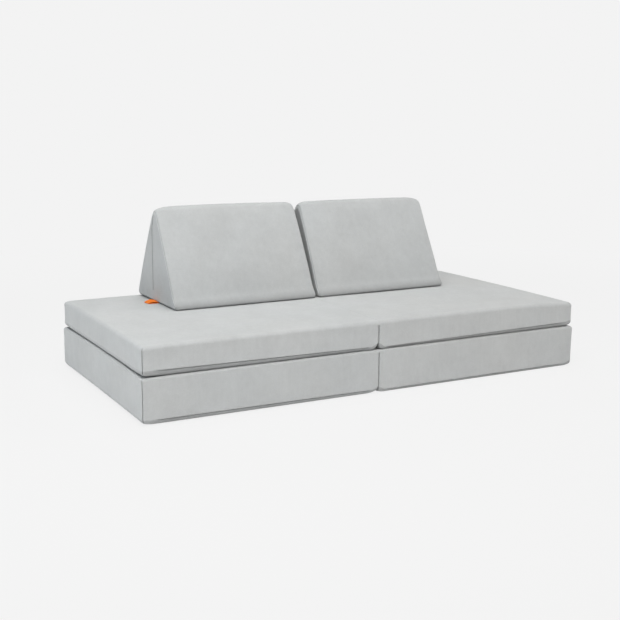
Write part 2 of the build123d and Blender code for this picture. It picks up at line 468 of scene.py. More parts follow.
def bumped(tree, shader, height, strength, distance):
    """Feeds a height into the shader's normal."""
    bump = new_node(tree, "ShaderNodeBump", {"Strength": strength, "Distance": distance, "Height": height})
    feed(tree, shader, {"Normal": bump.outputs["Normal"]})


# How far the marks darken the fabric, at its seams and where shade is painted
SEAM_AND_SHADE_DARKNESS = 0.55
COOL_SHARES = (0.985, 1.0, 1.012)
WARM_SHARES = (1.018, 1.0, 0.985)


def seams_and_painted_shade(tree, shade):
    """A shade made darker where the mesh marks its seams and its painted shade."""
    seam = new_node(tree, "ShaderNodeAttribute", {}, attribute_name=SEAM_AND_SHADE_LAYER).outputs["Fac"]
    left = combine(tree, "SUBTRACT", 1.0, combine(tree, "MULTIPLY", seam, SEAM_AND_SHADE_DARKNESS))
    return combine(tree, "MULTIPLY", shade, left)


def cover_fabric():
    """Brushed, tightly woven cover fabric with a soft nap, darker at its seams and where shade is painted.
    """
    known = bpy.data.materials.get("Brushed cover fabric")
    if known:
        return known
    cover = np.array(bpy.context.scene.sofa_fabric.cover)
    material, tree, shader, place = new_material(
        "Brushed cover fabric", Roughness=0.86, Sheen_Weight=0.22, Sheen_Roughness=0.45,
        Specular_IOR_Level=0.2)
    nap = new_node(tree, "ShaderNodeGroup", {"Place": place}, node_tree=brushed_nap())
    tones = {"Factor": noise_in(tree, place, scale=2.6, detail=2.0),
             "A": (*(cover * COOL_SHARES), 1.0), "B": (*(cover * WARM_SHARES), 1.0)}
    tone = new_node(tree, "ShaderNodeMix", tones, data_type="RGBA").outputs["Result"]
    shade = seams_and_painted_shade(tree, nap.outputs["Shade"])
    feed(tree, shader, {"Base Color": shaded_colour(tree, tone, shade)})
    bumped(tree, shader, nap.outputs["Height"], strength=0.35, distance=0.0006)
    return material


def woven_material(name, colour, roughness, threads, depth):
    """A woven tape or label in one colour."""
    known = bpy.data.materials.get(name)
    if known:
        return known
    material, tree, shader, place = new_material(
        name, Roughness=roughness, Sheen_Weight=0.08, Specular_IOR_Level=0.2)
    settings = {"Place": place, "Threads per metre": threads, "Depth": depth}
    weave = new_node(tree, "ShaderNodeGroup", settings, node_tree=woven_threads())
    feed(tree, shader, {"Base Color": shaded_colour(tree, colour, weave.outputs["Shade"])})
    bumped(tree, shader, weave.outputs["Height"], strength=0.5, distance=0.0003)
    return material


METAL_SHADE, METAL_ROUGHNESS = (0.9, 0.2), (0.25, 0.25)
NYLON_SHADE, NYLON_ROUGHNESS = (0.85, 0.3), (0.34, 0.18)


def spread(tree, limits, value):
    """A value from 0 to 1 laid out from a least number over a span."""
    least, span = limits
    return plus_share(tree, least, value, span)


def zip_metal():
    """Lacquered slider metal, rubbed a little unevenly."""
    known = bpy.data.materials.get("Lacquered zip metal")
    if known:
        return known
    look = bpy.context.scene.sofa_fabric
    material, tree, shader, place = new_material("Lacquered zip metal", Metallic=0.85)
    rub = noise_in(tree, place, scale=700.0, detail=3.0)
    feed(tree, shader, {"Base Color": shaded_colour(tree, look.metal, spread(tree, METAL_SHADE, rub)),
                        "Roughness": spread(tree, METAL_ROUGHNESS, rub)})
    bumped(tree, shader, rub, strength=0.15, distance=0.0002)
    return material


def coil_nylon():
    """Smooth nylon of the zip's coil."""
    known = bpy.data.materials.get("Zip coil nylon")
    if known:
        return known
    look = bpy.context.scene.sofa_fabric
    material, tree, shader, place = new_material("Zip coil nylon")
    worn = noise_in(tree, place, scale=900.0, detail=2.0)
    feed(tree, shader, {"Base Color": shaded_colour(tree, look.tape, spread(tree, NYLON_SHADE, worn)),
                        "Roughness": spread(tree, NYLON_ROUGHNESS, worn)})
    return material


# Base and seat

# Rows of the front's foot from its walls down: inset, height at the zip's flap, height beside it
FLAP_MM = (
    (1.7, 60.0, 60.0), (1.0, 50.0, 50.0), (0.4, 40.0, 40.0), (0.05, 33.0, 33.0),
    (-0.1, 27.5, 27.5), (-0.2, 23.6, 24.4), (-0.1, 21.6, 22.6), (0.2, 20.5, 21.7),
    (0.8, 20.1, 21.3), (1.3, 20.6, 21.0), (1.4, 22.0, 20.8), (1.35, 26.0, 20.6),
    (1.4, 31.0, 20.4), (1.9, 32.3, 20.2), (4.6, 32.5, 20.0), (5.6, 31.4, 19.8),
    (5.7, 26.0, 19.6), (5.6, 20.2, 19.4), (5.0, 18.0, 19.0), (4.1, 16.8, 18.4),
    (3.7, 15.8, 17.2), (4.5, 13.6, 14.6), (6.4, 9.6, 11.0), (8.6, 5.8, 7.2),
    (11.2, 2.6, 4.0), (14.6, 0.9, 1.6), (18.2, 0.25, 0.5), (22.0, 0.0, 0.0),
)
HEM_LEVEL, POCKET_LEVELS, BAND_LEVEL, POCKET_FLOOR_LEVEL = 8, range(9, 18), 18, 19
TURNED_LEVELS = len(FLAP_MM) - 1 - BAND_LEVEL
HEM_HEIGHT = 0.020
# Spans along the front: from the slit, from the outer end, and the eased stretch at either end
HEM_SPAN = {"slit": 0.016, "outer": 0.030, "ease": 0.030}
POCKET_SPAN = {"slit": 0.030, "outer": 0.048, "ease": 0.012}
LOWERED_SPAN = {"slit": 0.002, "outer": 0.010, "ease": 0.020}
LOWERED_FRONT = {"top": 0.060, "ramp": 0.038}
LOWERED_POCKET = {"top": 0.027, "ramp": 0.005}

SAME_PLACE = 1e-6
WALL_LEVELS = {"base": 6, "seat": 3}
CUSHION_SEEDS = {"base": 11, "seat": 37}
EDGE_LEVELS = 6
OUTER_STEP, SLIT_STEP = 0.0006, 0.0009
SLIT_TOP_RADIUS = 0.001
TOP_CORNER_GROWTH = 0.6
FOOT_CORNER_GROWTH = {"base": 1.6, "seat": 0.8}
END_CROWN_SHARE = 0.4
END_FALL = {("seat", "right"): 0.0085}
END_FALL_START = 0.5

TUCK_SHARES = {"base": 1.0, "seat": 0.50}
CORNER_TUCK_SHARES = {"base": 1.0, "seat": 0.68}
TUCK_CORNER = 0.075
TUCK_RAMP = 0.7
SAG = {"base": 0.0, "seat": 0.0026}
SAG_HEIGHT = 0.055
SLIT_FOOT_SHARES = {"left": 0.95, "right": 0.32}
SLIT_FOOT_INNER = 0.12
SLIT_FOOT_SPREAD = 0.022
# How far the band under the flap turns in: at the slit, at the outer end
BAND_SHARES = {
    ("base", "left"): (0.66, 0.84), ("base", "right"): (0.52, 0.52),
    ("seat", "left"): (0.52, 1.0), ("seat", "right"): (0.34, 0.80),
}
# Painted shade: the band that turns in under the cushion, and its foot where it meets what lies beneath
TURNED_SHADE = {"share": 0.50, "start": 0.019, "ramp": 0.016}
FRONT_TURNED_SHADE = {"start": 0.007, "ramp": -0.004, "reach": 0.05}
CUSHION_FOOT_SHADE = {"share": 0.40, "start": 0.005, "ramp": 0.004}


def top_radius_of(name):
    """How round the top edge of a folding cushion is."""
    sizes = bpy.context.scene.sofa_cover
    return sizes.base_top_radius if name == "base" else sizes.top_radius


def points_at(x, y, z):
    """Points from their three coordinates, each an array or one number for all."""
    return np.stack(np.broadcast_arrays(x, y, z), axis=-1)


class HalfPlan:
    """The outline of one half of a folding cushion, from its CAD cover's box, at each of its levels."""

    def __init__(self, name, hand):
        self.name, self.hand, self.side = name, hand, HANDS[hand]
        self.sizes = bpy.context.scene.sofa_cover
        self.low, self.high = corners_of(f"{name}_{hand}_cover")
        self.width, self.depth = (self.high - self.low)[:2]
        self.middle_x, self.middle_y = ((self.low + self.high) / 2)[:2]
        self.outer_left = self.side < 0
        self.outer_x = self.low[0] if self.outer_left else self.high[0]
        self.top_radius = top_radius_of(name)
        self.top_radii = (self.top_radius, SLIT_TOP_RADIUS, self.top_radius)
        steps = (OUTER_STEP, SLIT_STEP) if self.outer_left else (SLIT_STEP, OUTER_STEP)
        self.xs = graded(self.low[0], self.high[0], *steps, self.sizes.grid)
        self.ys = graded(self.low[1], self.high[1], OUTER_STEP, OUTER_STEP, self.sizes.grid)
        places = rim(len(self.xs), len(self.ys))
        self.rim_x, self.rim_y = self.xs[places[:, 0]], self.ys[places[:, 1]]

    def from_slit(self, x):
        """How far places along the half lie from the slit."""
        return self.high[0] - x if self.outer_left else x - self.low[0]

    def across(self, y):
        """Places from front to back as shares from -1 to 1."""
        return (y - self.middle_y) / (self.depth / 2)

    def band_share(self, x):
        """How far the band under the flap stands in at each place along the front."""
        at_slit, at_end = BAND_SHARES[self.name, self.hand]
        return at_slit + (at_end - at_slit) * self.from_slit(x) / self.width

    def tucked(self, apart, reach):
        """How far the foot turns in: less along the middle of a side than at its corners."""
        at_corner = np.clip((apart - (reach - TUCK_CORNER)) / (TUCK_RAMP * TUCK_CORNER), 0, 1)
        middle = TUCK_SHARES[self.name]
        return self.sizes.bottom_radius * (middle + (CORNER_TUCK_SHARES[self.name] - middle) * at_corner)

    def foot_radii(self, x, y):
        """How far the foot stands in at the outer end, at the slit, and at the front and back."""
        end = self.tucked(np.abs(y - self.middle_y), self.depth / 2)
        room = np.minimum(y - self.low[1], self.high[1] - y)
        opened = SLIT_FOOT_INNER + (1 - SLIT_FOOT_INNER) * np.exp(-(room / SLIT_FOOT_SPREAD) ** 2)
        slit = self.sizes.slit_foot_radius * SLIT_FOOT_SHARES[self.hand] * opened
        front = self.tucked(self.from_slit(x), self.width) * self.band_share(x)
        return end, slit, front

    def top_height(self, x, y):
        """Height of the top panel, which falls towards its edges."""
        out = self.from_slit(x) / self.width
        outer_part = np.clip((out - END_FALL_START) / (1 - END_FALL_START), 0, 1)
        end_fall = END_FALL.get((self.name, self.hand), 0.0) * outer_part ** 2
        crown = self.sizes.crown
        return self.high[2] - crown * self.across(y) ** 2 - END_CROWN_SHARE * crown * out ** 8 - end_fall

    def outline(self, x, y, insets, corner_growth):
        """Sharp plan points moved in by each side's inset, with rounded upright corners."""
        low, high, sizes = self.low, self.high, self.sizes
        inset_out, inset_slit, inset_y = insets
        inset_left, inset_right = (inset_out, inset_slit) if self.outer_left else (inset_slit, inset_out)
        box = (low[0] + inset_left, high[0] - inset_right, low[1] + inset_y, high[1] - inset_y)
        moved_x = box[0] + (x - low[0]) * (box[1] - box[0]) / self.width
        moved_y = box[2] + (y - low[1]) * (box[3] - box[2]) / self.depth
        near_outer = (x < self.middle_x) == self.outer_left
        radius = np.where(near_outer, sizes.corner_radius, sizes.slit_radius)
        radius = radius + corner_growth * np.where(near_outer, inset_y, np.minimum(inset_y, inset_slit))
        moved_x, moved_y = round_corners(moved_x, moved_y, box, radius, radius)
        along, across = (moved_x - self.middle_x) / (self.width / 2), self.across(moved_y)
        moved_y = moved_y - sizes.side_draw * (1 - np.clip(along, -1, 1) ** 2) * across ** 3
        outward = np.clip(along * self.side, 0, 1)
        draw_x = self.side * sizes.side_draw * (1 - np.clip(across, -1, 1) ** 2) * outward ** 3
        return moved_x - draw_x, moved_y

    def front_share(self, span):
        """1 for the rim places of the front within a span, 0 for the rest."""
        front = self.rim_y <= self.low[1] + SAME_PLACE
        apart = self.from_slit(self.rim_x)
        return window(apart, span["slit"], self.width - span["outer"], span["ease"]) * front


def top_rings(plan, levels_up):
    """Rings of a half's rounded top edge and of its walls, down to the flap."""
    rings = []
    for step in range(1, EDGE_LEVELS + 1):
        fall = plan.top_radius * (1 - math.cos(step * math.pi / (2 * EDGE_LEVELS)))
        insets = [edge_inset(fall, radius) for radius in plan.top_radii]
        x, y = plan.outline(plan.rim_x, plan.rim_y, insets, TOP_CORNER_GROWTH)
        rings.append(points_at(x, y, plan.top_height(x, y) - fall))
    x, y = plan.outline(plan.rim_x, plan.rim_y, (0.0, 0.0, 0.0), TOP_CORNER_GROWTH)
    shoulder = plan.top_height(x, y) - plan.top_radius
    flap_top = plan.low[2] + FLAP_MM[0][1] / 1000
    for step in range(1, levels_up):
        rings.append(points_at(x, y, shoulder + (flap_top - shoulder) * step / levels_up))
    return rings


def flap_rings(plan):
    """Rings of the zip's flap at the front, of its pocket and of the foot that turns in under it."""
    flap = np.array(FLAP_MM) / 1000
    groove = flap[POCKET_FLOOR_LEVEL, 0]
    hem_share, pocket_share = plan.front_share(HEM_SPAN), plan.front_share(POCKET_SPAN)
    band = plan.band_share(plan.rim_x)
    tuck = band * TUCK_SHARES[plan.name]
    lowered_share = plan.front_share(LOWERED_SPAN) * (1 - band)
    radii = plan.foot_radii(plan.rim_x, plan.rim_y)
    rings = []
    for level, (inset, height, plain) in enumerate(flap[:-1]):
        to_foot = np.clip((LOWERED_FRONT["top"] - plain) / LOWERED_FRONT["ramp"], 0, 1)
        plain_z = plain - lowered_share * min(plain, HEM_HEIGHT) * to_foot
        insets = [edge_inset(plain_z, radius) for radius in radii]
        x, y = plan.outline(plan.rim_x, plan.rim_y, insets, FOOT_CORNER_GROWTH[plan.name])
        share = pocket_share if HEM_LEVEL <= level <= POCKET_FLOOR_LEVEL else hem_share
        lowering = LOWERED_POCKET if level in POCKET_LEVELS else LOWERED_FRONT
        lowered = np.clip((lowering["top"] - height) / lowering["ramp"], 0, 1)
        flap_z = height - (1 - band) * min(height, HEM_HEIGHT) * lowered
        flap_inset = inset if level <= POCKET_FLOOR_LEVEL else groove + (inset - groove) * tuck
        y = y + share * (plan.low[1] + flap_inset - y)
        rings.append(points_at(x, y, plan.low[2] + plain_z + share * (flap_z - plain_z)))
    return rings


def folding_half(plan):
    """One half of a folding cushion as its top cap, the rings of its walls and its bottom cap."""
    sharp_x, sharp_y = np.meshgrid(plan.xs, plan.ys, indexing="ij")
    cap_x, cap_y = plan.outline(sharp_x, sharp_y, plan.top_radii, TOP_CORNER_GROWTH)
    top_cap = points_at(cap_x, cap_y, plan.top_height(cap_x, cap_y))
    foot_radii = plan.foot_radii(sharp_x, sharp_y)
    foot_x, foot_y = plan.outline(sharp_x, sharp_y, foot_radii, FOOT_CORNER_GROWTH[plan.name])
    bottom_cap = points_at(foot_x, foot_y, plan.low[2])
    rings = np.array(top_rings(plan, WALL_LEVELS[plan.name]) + flap_rings(plan))
    for points in (rings, bottom_cap):
        lower = np.clip(1 - (points[..., 2] - plan.low[2]) / SAG_HEIGHT, 0, 1)
        inner = np.clip((plan.width - plan.from_slit(points[..., 0])) / TUCK_CORNER, 0, 1)
        points[..., 2] -= SAG[plan.name] * plan.across(points[..., 1]) ** 2 * lower * inner
    return top_cap, rings, bottom_cap


def shade_below(height, share, start, ramp):
    """How dark places are below a starting height, up to a share."""
    return share * np.clip((start - height) / ramp, 0, 1)


def band_painted_shade(rings, low):
    """Painted shade on each ring point where the sides turn in under the cushion, darkest at its foot."""
    points = rings[-TURNED_LEVELS:]
    height = points[..., 2] - low[2]
    near_front = np.clip(1 - (points[..., 1] - low[1]) / FRONT_TURNED_SHADE["reach"], 0, 1)
    start, ramp = (TURNED_SHADE[key] + FRONT_TURNED_SHADE[key] * near_front for key in ("start", "ramp"))
    marks = np.zeros(rings.shape[:2])
    marks[-TURNED_LEVELS:] = shade_below(height, TURNED_SHADE["share"], start, ramp)
    marks[-TURNED_LEVELS:] += shade_below(height, **CUSHION_FOOT_SHADE)
    return marks


SEAM_WIDTH = 0.0009
SEAM_MARK_WIDTH = 0.0013
SEAM_LIP = {"share": 0.10, "away": 0.0045, "width": 0.0022}
SEAM_SPAN = {"foot": 0.008, "top": 0.007, "ease": 0.005}
SEAM_GATHERS = {"share": 0.2, "wavelength": 0.016}
BAND_RIPPLE = {"height": 0.0005, "wavelength": 0.014, "stretch": (1.0, 0.4, 0.5)}
TOP_RIPPLE = {"wavelength": 0.30, "lowered": 0.6, "ease": 0.06}
WALL_RIPPLE = {"wavelength": 0.22, "lowered": 0.0003, "edge": 0.004, "ease": 0.03}
FACE_DEPTH = 0.02


def near(places, at, width=FACE_DEPTH):
    """1 at a place, falling to 0 a few widths away from it."""
    return np.exp(-((places - at) / width) ** 2)


def sew_corners(plan, rings, marks, seed):
    """Draws the two outer corners in along their seams, and marks the seams."""
    low, high = plan.low, plan.high
    foot, top = low[2] + SEAM_SPAN["foot"], high[2] - SEAM_SPAN["top"]
    for corner_y, inward in ((low[1], 1), (high[1], -1)):
        away = np.abs(plan.rim_x - plan.outer_x) + np.abs(plan.rim_y - corner_y)
        lip = SEAM_LIP["share"] * near(away, SEAM_LIP["away"], SEAM_LIP["width"])
        groove = near(away, 0, SEAM_WIDTH) - lip
        seam = window(rings[..., 2], foot, top, SEAM_SPAN["ease"])
        gathers = 1 + SEAM_GATHERS["share"] * swing(rings, SEAM_GATHERS["wavelength"], seed)
        push = plan.sizes.seam_depth * groove[None, :] * seam * gathers / math.sqrt(2)
        rings[..., 0] += -plan.side * push
        rings[..., 1] += inward * push
        marks += seam * near(away, 0, SEAM_MARK_WIDTH)[None, :]


def roughen_half(plan, top_cap, rings, bottom_cap, seed):
    """Sews the outer corners in, lays the cover unevenly over its foam and returns its marks: its seams,
    and painted shade on the turned-in band, at its foot and over all of its underside.
    """
    low, high, ripple = plan.low, plan.high, plan.sizes.ripple
    marks = band_painted_shade(rings, low)
    sew_corners(plan, rings, marks, seed + 5)
    band = rings[-TURNED_LEVELS:]
    waves = swing(band * np.array(BAND_RIPPLE["stretch"]), BAND_RIPPLE["wavelength"], seed + 6)
    band[..., 1] += BAND_RIPPLE["height"] * near(band[..., 1], low[1]) * waves
    room = np.minimum(top_cap - low, high - top_cap)[..., :2].min(axis=-1)
    slow = swing(top_cap, TOP_RIPPLE["wavelength"], seed) - TOP_RIPPLE["lowered"]
    top_cap[..., 2] += ripple * slow * np.clip(room / TOP_RIPPLE["ease"], 0, 1)
    walls = swing(rings, WALL_RIPPLE["wavelength"], seed + 1) * ripple - WALL_RIPPLE["lowered"]
    edge = WALL_RIPPLE["edge"]
    calm = window(rings[..., 2], low[2] + edge, high[2] - edge, WALL_RIPPLE["ease"])
    faces = near(rings[..., 1], high[1]) - near(rings[..., 1], low[1])
    outer = near(rings[..., 0], plan.outer_x)
    rings[..., 1] += faces * walls * calm
    rings[..., 0] += plan.side * outer * walls * calm
    # The underside is darkened all over with painted shade
    return np.zeros(top_cap.shape[:2]), marks, np.full(bottom_cap.shape[:2], TURNED_SHADE["share"])


STRIP_SUNK = 0.0004
STRIP_THICKNESS = 0.0008
STRIP_TAIL = 0.0015
STRIP_ROWS = 69
STRIP_INNER = (0.0005, 0.0010)
STRIP_OUTER = (0.0030, 0.0060)
CREASE_DEPTH = 0.0005
CREASE_WIDTH = 0.0008


def fold_strip(name, radius):
    """The fabric hinge between the halves: a thin strip over the top, turned down at front and back."""
    left_low, left_high = corners_of(f"{name}_left_cover")
    right_low = corners_of(f"{name}_right_cover")[0]
    crown = bpy.context.scene.sofa_cover.crown
    front, back = left_low[1], left_high[1]
    half_depth, middle_y = (back - front) / 2, (front + back) / 2
    edge_z = left_high[2] - crown
    start = edge_z - radius
    path = [(front, start - STRIP_TAIL, -1.0, 0.0), (front, start - STRIP_TAIL / 2, -1.0, 0.0)]
    for step in range(EDGE_LEVELS + 1):
        turn = step * math.pi / (2 * EDGE_LEVELS)
        path.append((front + radius * (1 - math.cos(turn)), edge_z - radius * (1 - math.sin(turn)),
                     -math.cos(turn), math.sin(turn)))
    turned_back = [(2 * middle_y - y, z, -out_y, out_z) for y, z, out_y, out_z in path[::-1]]
    for y in np.linspace(front + radius, back - radius, STRIP_ROWS + 2)[1:-1]:
        path.append((y, edge_z + crown * (1 - ((y - middle_y) / half_depth) ** 2), 0.0, 1.0))
    path = np.array(path + turned_back)
    places = [*STRIP_INNER, (right_low[0] - left_high[0]) / 2, *STRIP_OUTER]
    columns = np.array([-place for place in places[::-1]] + [0.0] + places)
    dip = CREASE_DEPTH * near(columns, 0, CREASE_WIDTH)
    caps = []
    for offset in (STRIP_SUNK, STRIP_SUNK + STRIP_THICKNESS):
        depth = offset + dip[:, None]
        y = path[None, :, 0] - path[None, :, 2] * depth
        z = path[None, :, 1] - path[None, :, 3] * depth
        caps.append(points_at(columns[:, None], y, z))
    return flat_shell(f"{name}_fold_strip", *caps)


class SOFA_OT_folding_cushion(bpy.types.Operator):
    """Dress the two halves of a folding cushion and the fabric hinge between them"""
    bl_idname = "sofa.folding_cushion"
    bl_label = "Folding Cushion"

    cushion: bpy.props.EnumProperty(
        name="Cushion", description="Which of the two folding cushions",
        items=[("base", "Base", "The thick cushion on the floor"),
               ("seat", "Seat", "The thinner cushion on the base")])

    def execute(self, context):
        name = self.cushion
        for hand in HANDS:
            plan = HalfPlan(name, hand)
            patches = folding_half(plan)
            seams = roughen_half(plan, *patches, CUSHION_SEEDS[name] + HANDS[hand])
            cover = closed_shell(f"{name}_{hand}_fabric", *patches, seams)
            finish_piece(cover, cover_fabric(), f"{name}_{hand}",
                         (f"{name}_{hand}_cover", f"{name}_{hand}_foam"))
        strip = fold_strip(name, top_radius_of(name))
        finish_piece(strip, cover_fabric(), None, (f"{name}_crease",))
        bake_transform(strip)
        return {"FINISHED"}


# Zips

ZIP_MM = {
    "coil_low": 0.5, "coil_high": 1.5, "pitch": 1.9, "end": 4.0, "tooth_foot": 0.62, "tooth_top": 0.40,
    "pull_low": 2.36, "pull_high": 2.70, "beam_low": 2.80, "tape_step": 40,
}
# A tape's outline, across and out of the zip
TAPE_SECTION_MM = (
    (0.30, 0.0), (4.45, 0.0), (4.5, 0.25), (4.4, 0.5), (2.7, 0.5), (2.55, 0.66), (1.95, 0.66), (1.8, 0.5),
    (0.35, 0.5), (0.28, 0.25),
)
# A tooth's sections: place across the zip, share of the coil's height
TOOTH_SECTIONS_MM = ((-0.45, 0.25), (0.0, 0.85), (0.9, 1.0), (1.7, 0.85), (1.95, 0.3))
SLIDER_MM = {"half_length": 5.9, "half_width": 3.9, "waist": 0.55}
SLIDER_POINTS = 16
SLIDER_SQUARENESS = 4
# The slider's plate: inset of its outline, height out of the zip
PLATE_LEVELS_MM = ((0.25, 1.65), (0.0, 1.77), (0.0, 2.07), (0.3, 2.25))
FLANGE_SECTION_MM = ((2.3, 0.85), (3.1, 0.85), (3.3, 1.7), (2.3, 1.7))
FLANGE_LEVELS_MM = (-4.6, -4.2, 4.2, 4.6)
# The bridge's path: place along the zip, height out of it, half width
BRIDGE_HALF_MM = ((3.9, 2.05, 0.9), (3.7, 2.70, 0.85), (3.2, 3.02, 0.75), (2.2, 3.16, 0.65))
BRIDGE_TOP_MM = (0.0, 3.20, 0.6)
BRIDGE_THIN_MM = 0.05
BRIDGE_INNER_SHARE = 0.72
PULL_TAB_MM = {"low": -0.75, "high": 21.1, "half": 2.9, "radius": 1.9}
PULL_EYE_MM = {"low": 0.75, "high": 5.2, "half": 1.35, "radius": 0.9}
PULL_BEVEL_MM = (0.15, 0.1)
LOOP_POINTS = 32
SHARP_DEGREES = 38


def faces_between(levels, count, first, steps):
    """Quads from each section to the next for a number of steps; the last may lead to the first."""
    around = np.arange(count)
    faces = []
    for level in range(steps):
        lower, upper = first + level * count + around, first + (level + 1) % levels * count + around
        faces.append(np.stack((lower, np.roll(lower, -1), np.roll(upper, -1), upper), axis=1))
    return faces


def loft_faces(levels, count, first):
    """Quads that close a stack of sections of an even number of points, with a strip over each end."""
    faces = faces_between(levels, count, first, levels - 1)
    k = np.arange(count // 2 - 1)
    strip = np.stack((k, count - 1 - k, count - 2 - k, k + 1), axis=1)
    faces.append(first + strip)
    faces.append(first + (levels - 1) * count + strip[:, ::-1])
    return np.concatenate(faces)


def loop_faces(levels, count, first):
    """Quads of a closed ring of loops, such as a plate with one hole in it."""
    return np.concatenate(faces_between(levels, count, first, levels))


def zip_place(name, hand):
    """Length of a zip, and what turns places along it, across it and out of it into the shared frame."""
    low, high = corners_of(f"{name}_{hand}_zip")
    side = HANDS[hand]
    near_x = (high if side < 0 else low)[0]
    if name == "pillow":
        origin = np.array((near_x, (low[1] + high[1]) / 2, low[2]))
        turned = np.array(((0, 0, 1), (0, 1, 0), (side, 0, 0)), float)
        length = high[2] - low[2]
    else:
        origin = np.array((near_x, high[1], (low[2] + high[2]) / 2))
        turned = np.array(((side, 0, 0), (0, 0, 1), (0, -1, 0)), float)
        length = high[0] - low[0]
    return length, origin, turned


def zip_piece(title, pieces, origin, turned, rings=()):
    """One mesh of lofted pieces and plates with a hole, in millimetres along, across and out of a zip."""
    points, faces, first = [], [], 0
    for group, build in ((pieces, loft_faces), (rings, loop_faces)):
        for sections in group:
            levels, count = sections.shape[:2]
            points.append(sections.reshape(-1, 3))
            faces.append(build(levels, count, first))
            first += levels * count
    places = np.concatenate(points) / 1000 @ turned + origin
    thing = add_mesh(title, places, np.concatenate(faces))
    thing.data.set_sharp_from_angle(angle=math.radians(SHARP_DEGREES))
    return thing


def facing(sections, side):
    """Sections of a piece beside the middle, whose points run the same way round on either side."""
    return np.array(sections) if side > 0 else np.array(sections)[:, ::-1]


def zip_tapes(length_mm):
    """The two tapes of a zip, each with the rib of its stitching."""
    section = np.array(TAPE_SECTION_MM)
    alongs = np.linspace(0.0, length_mm, max(2, round(length_mm / ZIP_MM["tape_step"])))
    pieces = []
    for side in (-1, 1):
        levels = [points_at(along, section[:, 0] * side, section[:, 1]) for along in alongs]
        pieces.append(facing(levels, side))
    return pieces


def zip_teeth(length_mm):
    """The coil's teeth, reaching over the middle from each side in turn."""
    low, high, foot, top = (ZIP_MM[key] for key in ("coil_low", "coil_high", "tooth_foot", "tooth_top"))
    count = int((length_mm - 2 * ZIP_MM["end"]) / ZIP_MM["pitch"])
    pieces = []
    for number in range(count):
        middle = ZIP_MM["end"] + (number + 0.5) * ZIP_MM["pitch"]
        side = -1 if number % 2 else 1
        sections = []
        for across, rise in TOOTH_SECTIONS_MM:
            risen = low + (high - low) * rise
            sections.append(((middle - foot, across * side, low), (middle + foot, across * side, low),
                             (middle + top, across * side, risen), (middle - top, across * side, risen)))
        pieces.append(facing(sections, side))
    return pieces


def turns_round(count, start=0.0):
    """Cosines and sines of evenly spaced turns, once round."""
    turns = np.linspace(0, 2 * math.pi, count, endpoint=False) + start
    return np.cos(turns), np.sin(turns)


def slider_plan(inset):
    """The outline of a slider's plate, about its middle: wide at its front, waisted at its back."""
    along, across = turns_round(SLIDER_POINTS, math.pi / SLIDER_POINTS)
    power = SLIDER_SQUARENESS
    square = (np.abs(along) ** power + np.abs(across) ** power) ** (-1 / power)
    width = SLIDER_MM["half_width"] - inset - SLIDER_MM["waist"] * np.clip(along, 0, 1) ** 2
    return np.stack((along * square * (SLIDER_MM["half_length"] - inset), across * square * width), axis=-1)


def slider_pieces(middle):
    """A slider's plate, its two flanges beside the coil and the bridge that holds the pull."""
    plate = []
    for inset, out in PLATE_LEVELS_MM:
        plate.append(np.column_stack((slider_plan(inset) + (middle, 0), np.full(SLIDER_POINTS, out))))
    pieces = [np.array(plate)]
    for side in (-1, 1):
        flange = [[(middle + a, side * b, c) for b, c in FLANGE_SECTION_MM] for a in FLANGE_LEVELS_MM]
        pieces.append(facing(flange, side))
    path = [(-a, top, half) for a, top, half in BRIDGE_HALF_MM] + [BRIDGE_TOP_MM, *BRIDGE_HALF_MM[::-1]]
    bridge = []
    for a, top, half in path:
        inner_a = a * BRIDGE_INNER_SHARE
        inner_top = min(top - BRIDGE_THIN_MM, ZIP_MM["beam_low"])
        bridge.append(((middle + a, -half, top), (middle + a, half, top),
                       (middle + inner_a, half, inner_top), (middle + inner_a, -half, inner_top)))
    pieces.append(np.array(bridge))
    return pieces


def rounded_loop(middle, shape, inset=0.0):
    """A rounded rectangle along the zip, from its far end round, with its edges moved in."""
    along, across = turns_round(LOOP_POINTS)
    low, high = middle + shape["low"] + inset, middle + shape["high"] - inset
    half, radius = shape["half"] - inset, shape["radius"] - inset
    corner_along = (low + high) / 2 + np.sign(along.round(6)) * ((high - low) / 2 - radius)
    corner_across = np.sign(across.round(6)) * (half - radius)
    return np.stack((corner_along + radius * along, corner_across + radius * across), axis=-1)


def pull_plate(middle):
    """A zip's pull: a flat tab whose eye goes round the bridge."""
    low, high = ZIP_MM["pull_low"], ZIP_MM["pull_high"]
    bevel_in, bevel_out = PULL_BEVEL_MM
    tab = ((bevel_in, low), (0.0, low + bevel_out), (0.0, high - bevel_out), (bevel_in, high))
    loops = [(rounded_loop(middle, PULL_TAB_MM, inset), out) for inset, out in tab]
    loops += [(rounded_loop(middle, PULL_EYE_MM), out) for out in (high, low)]
    return np.array([np.column_stack((loop, np.full(len(loop), out))) for loop, out in loops])


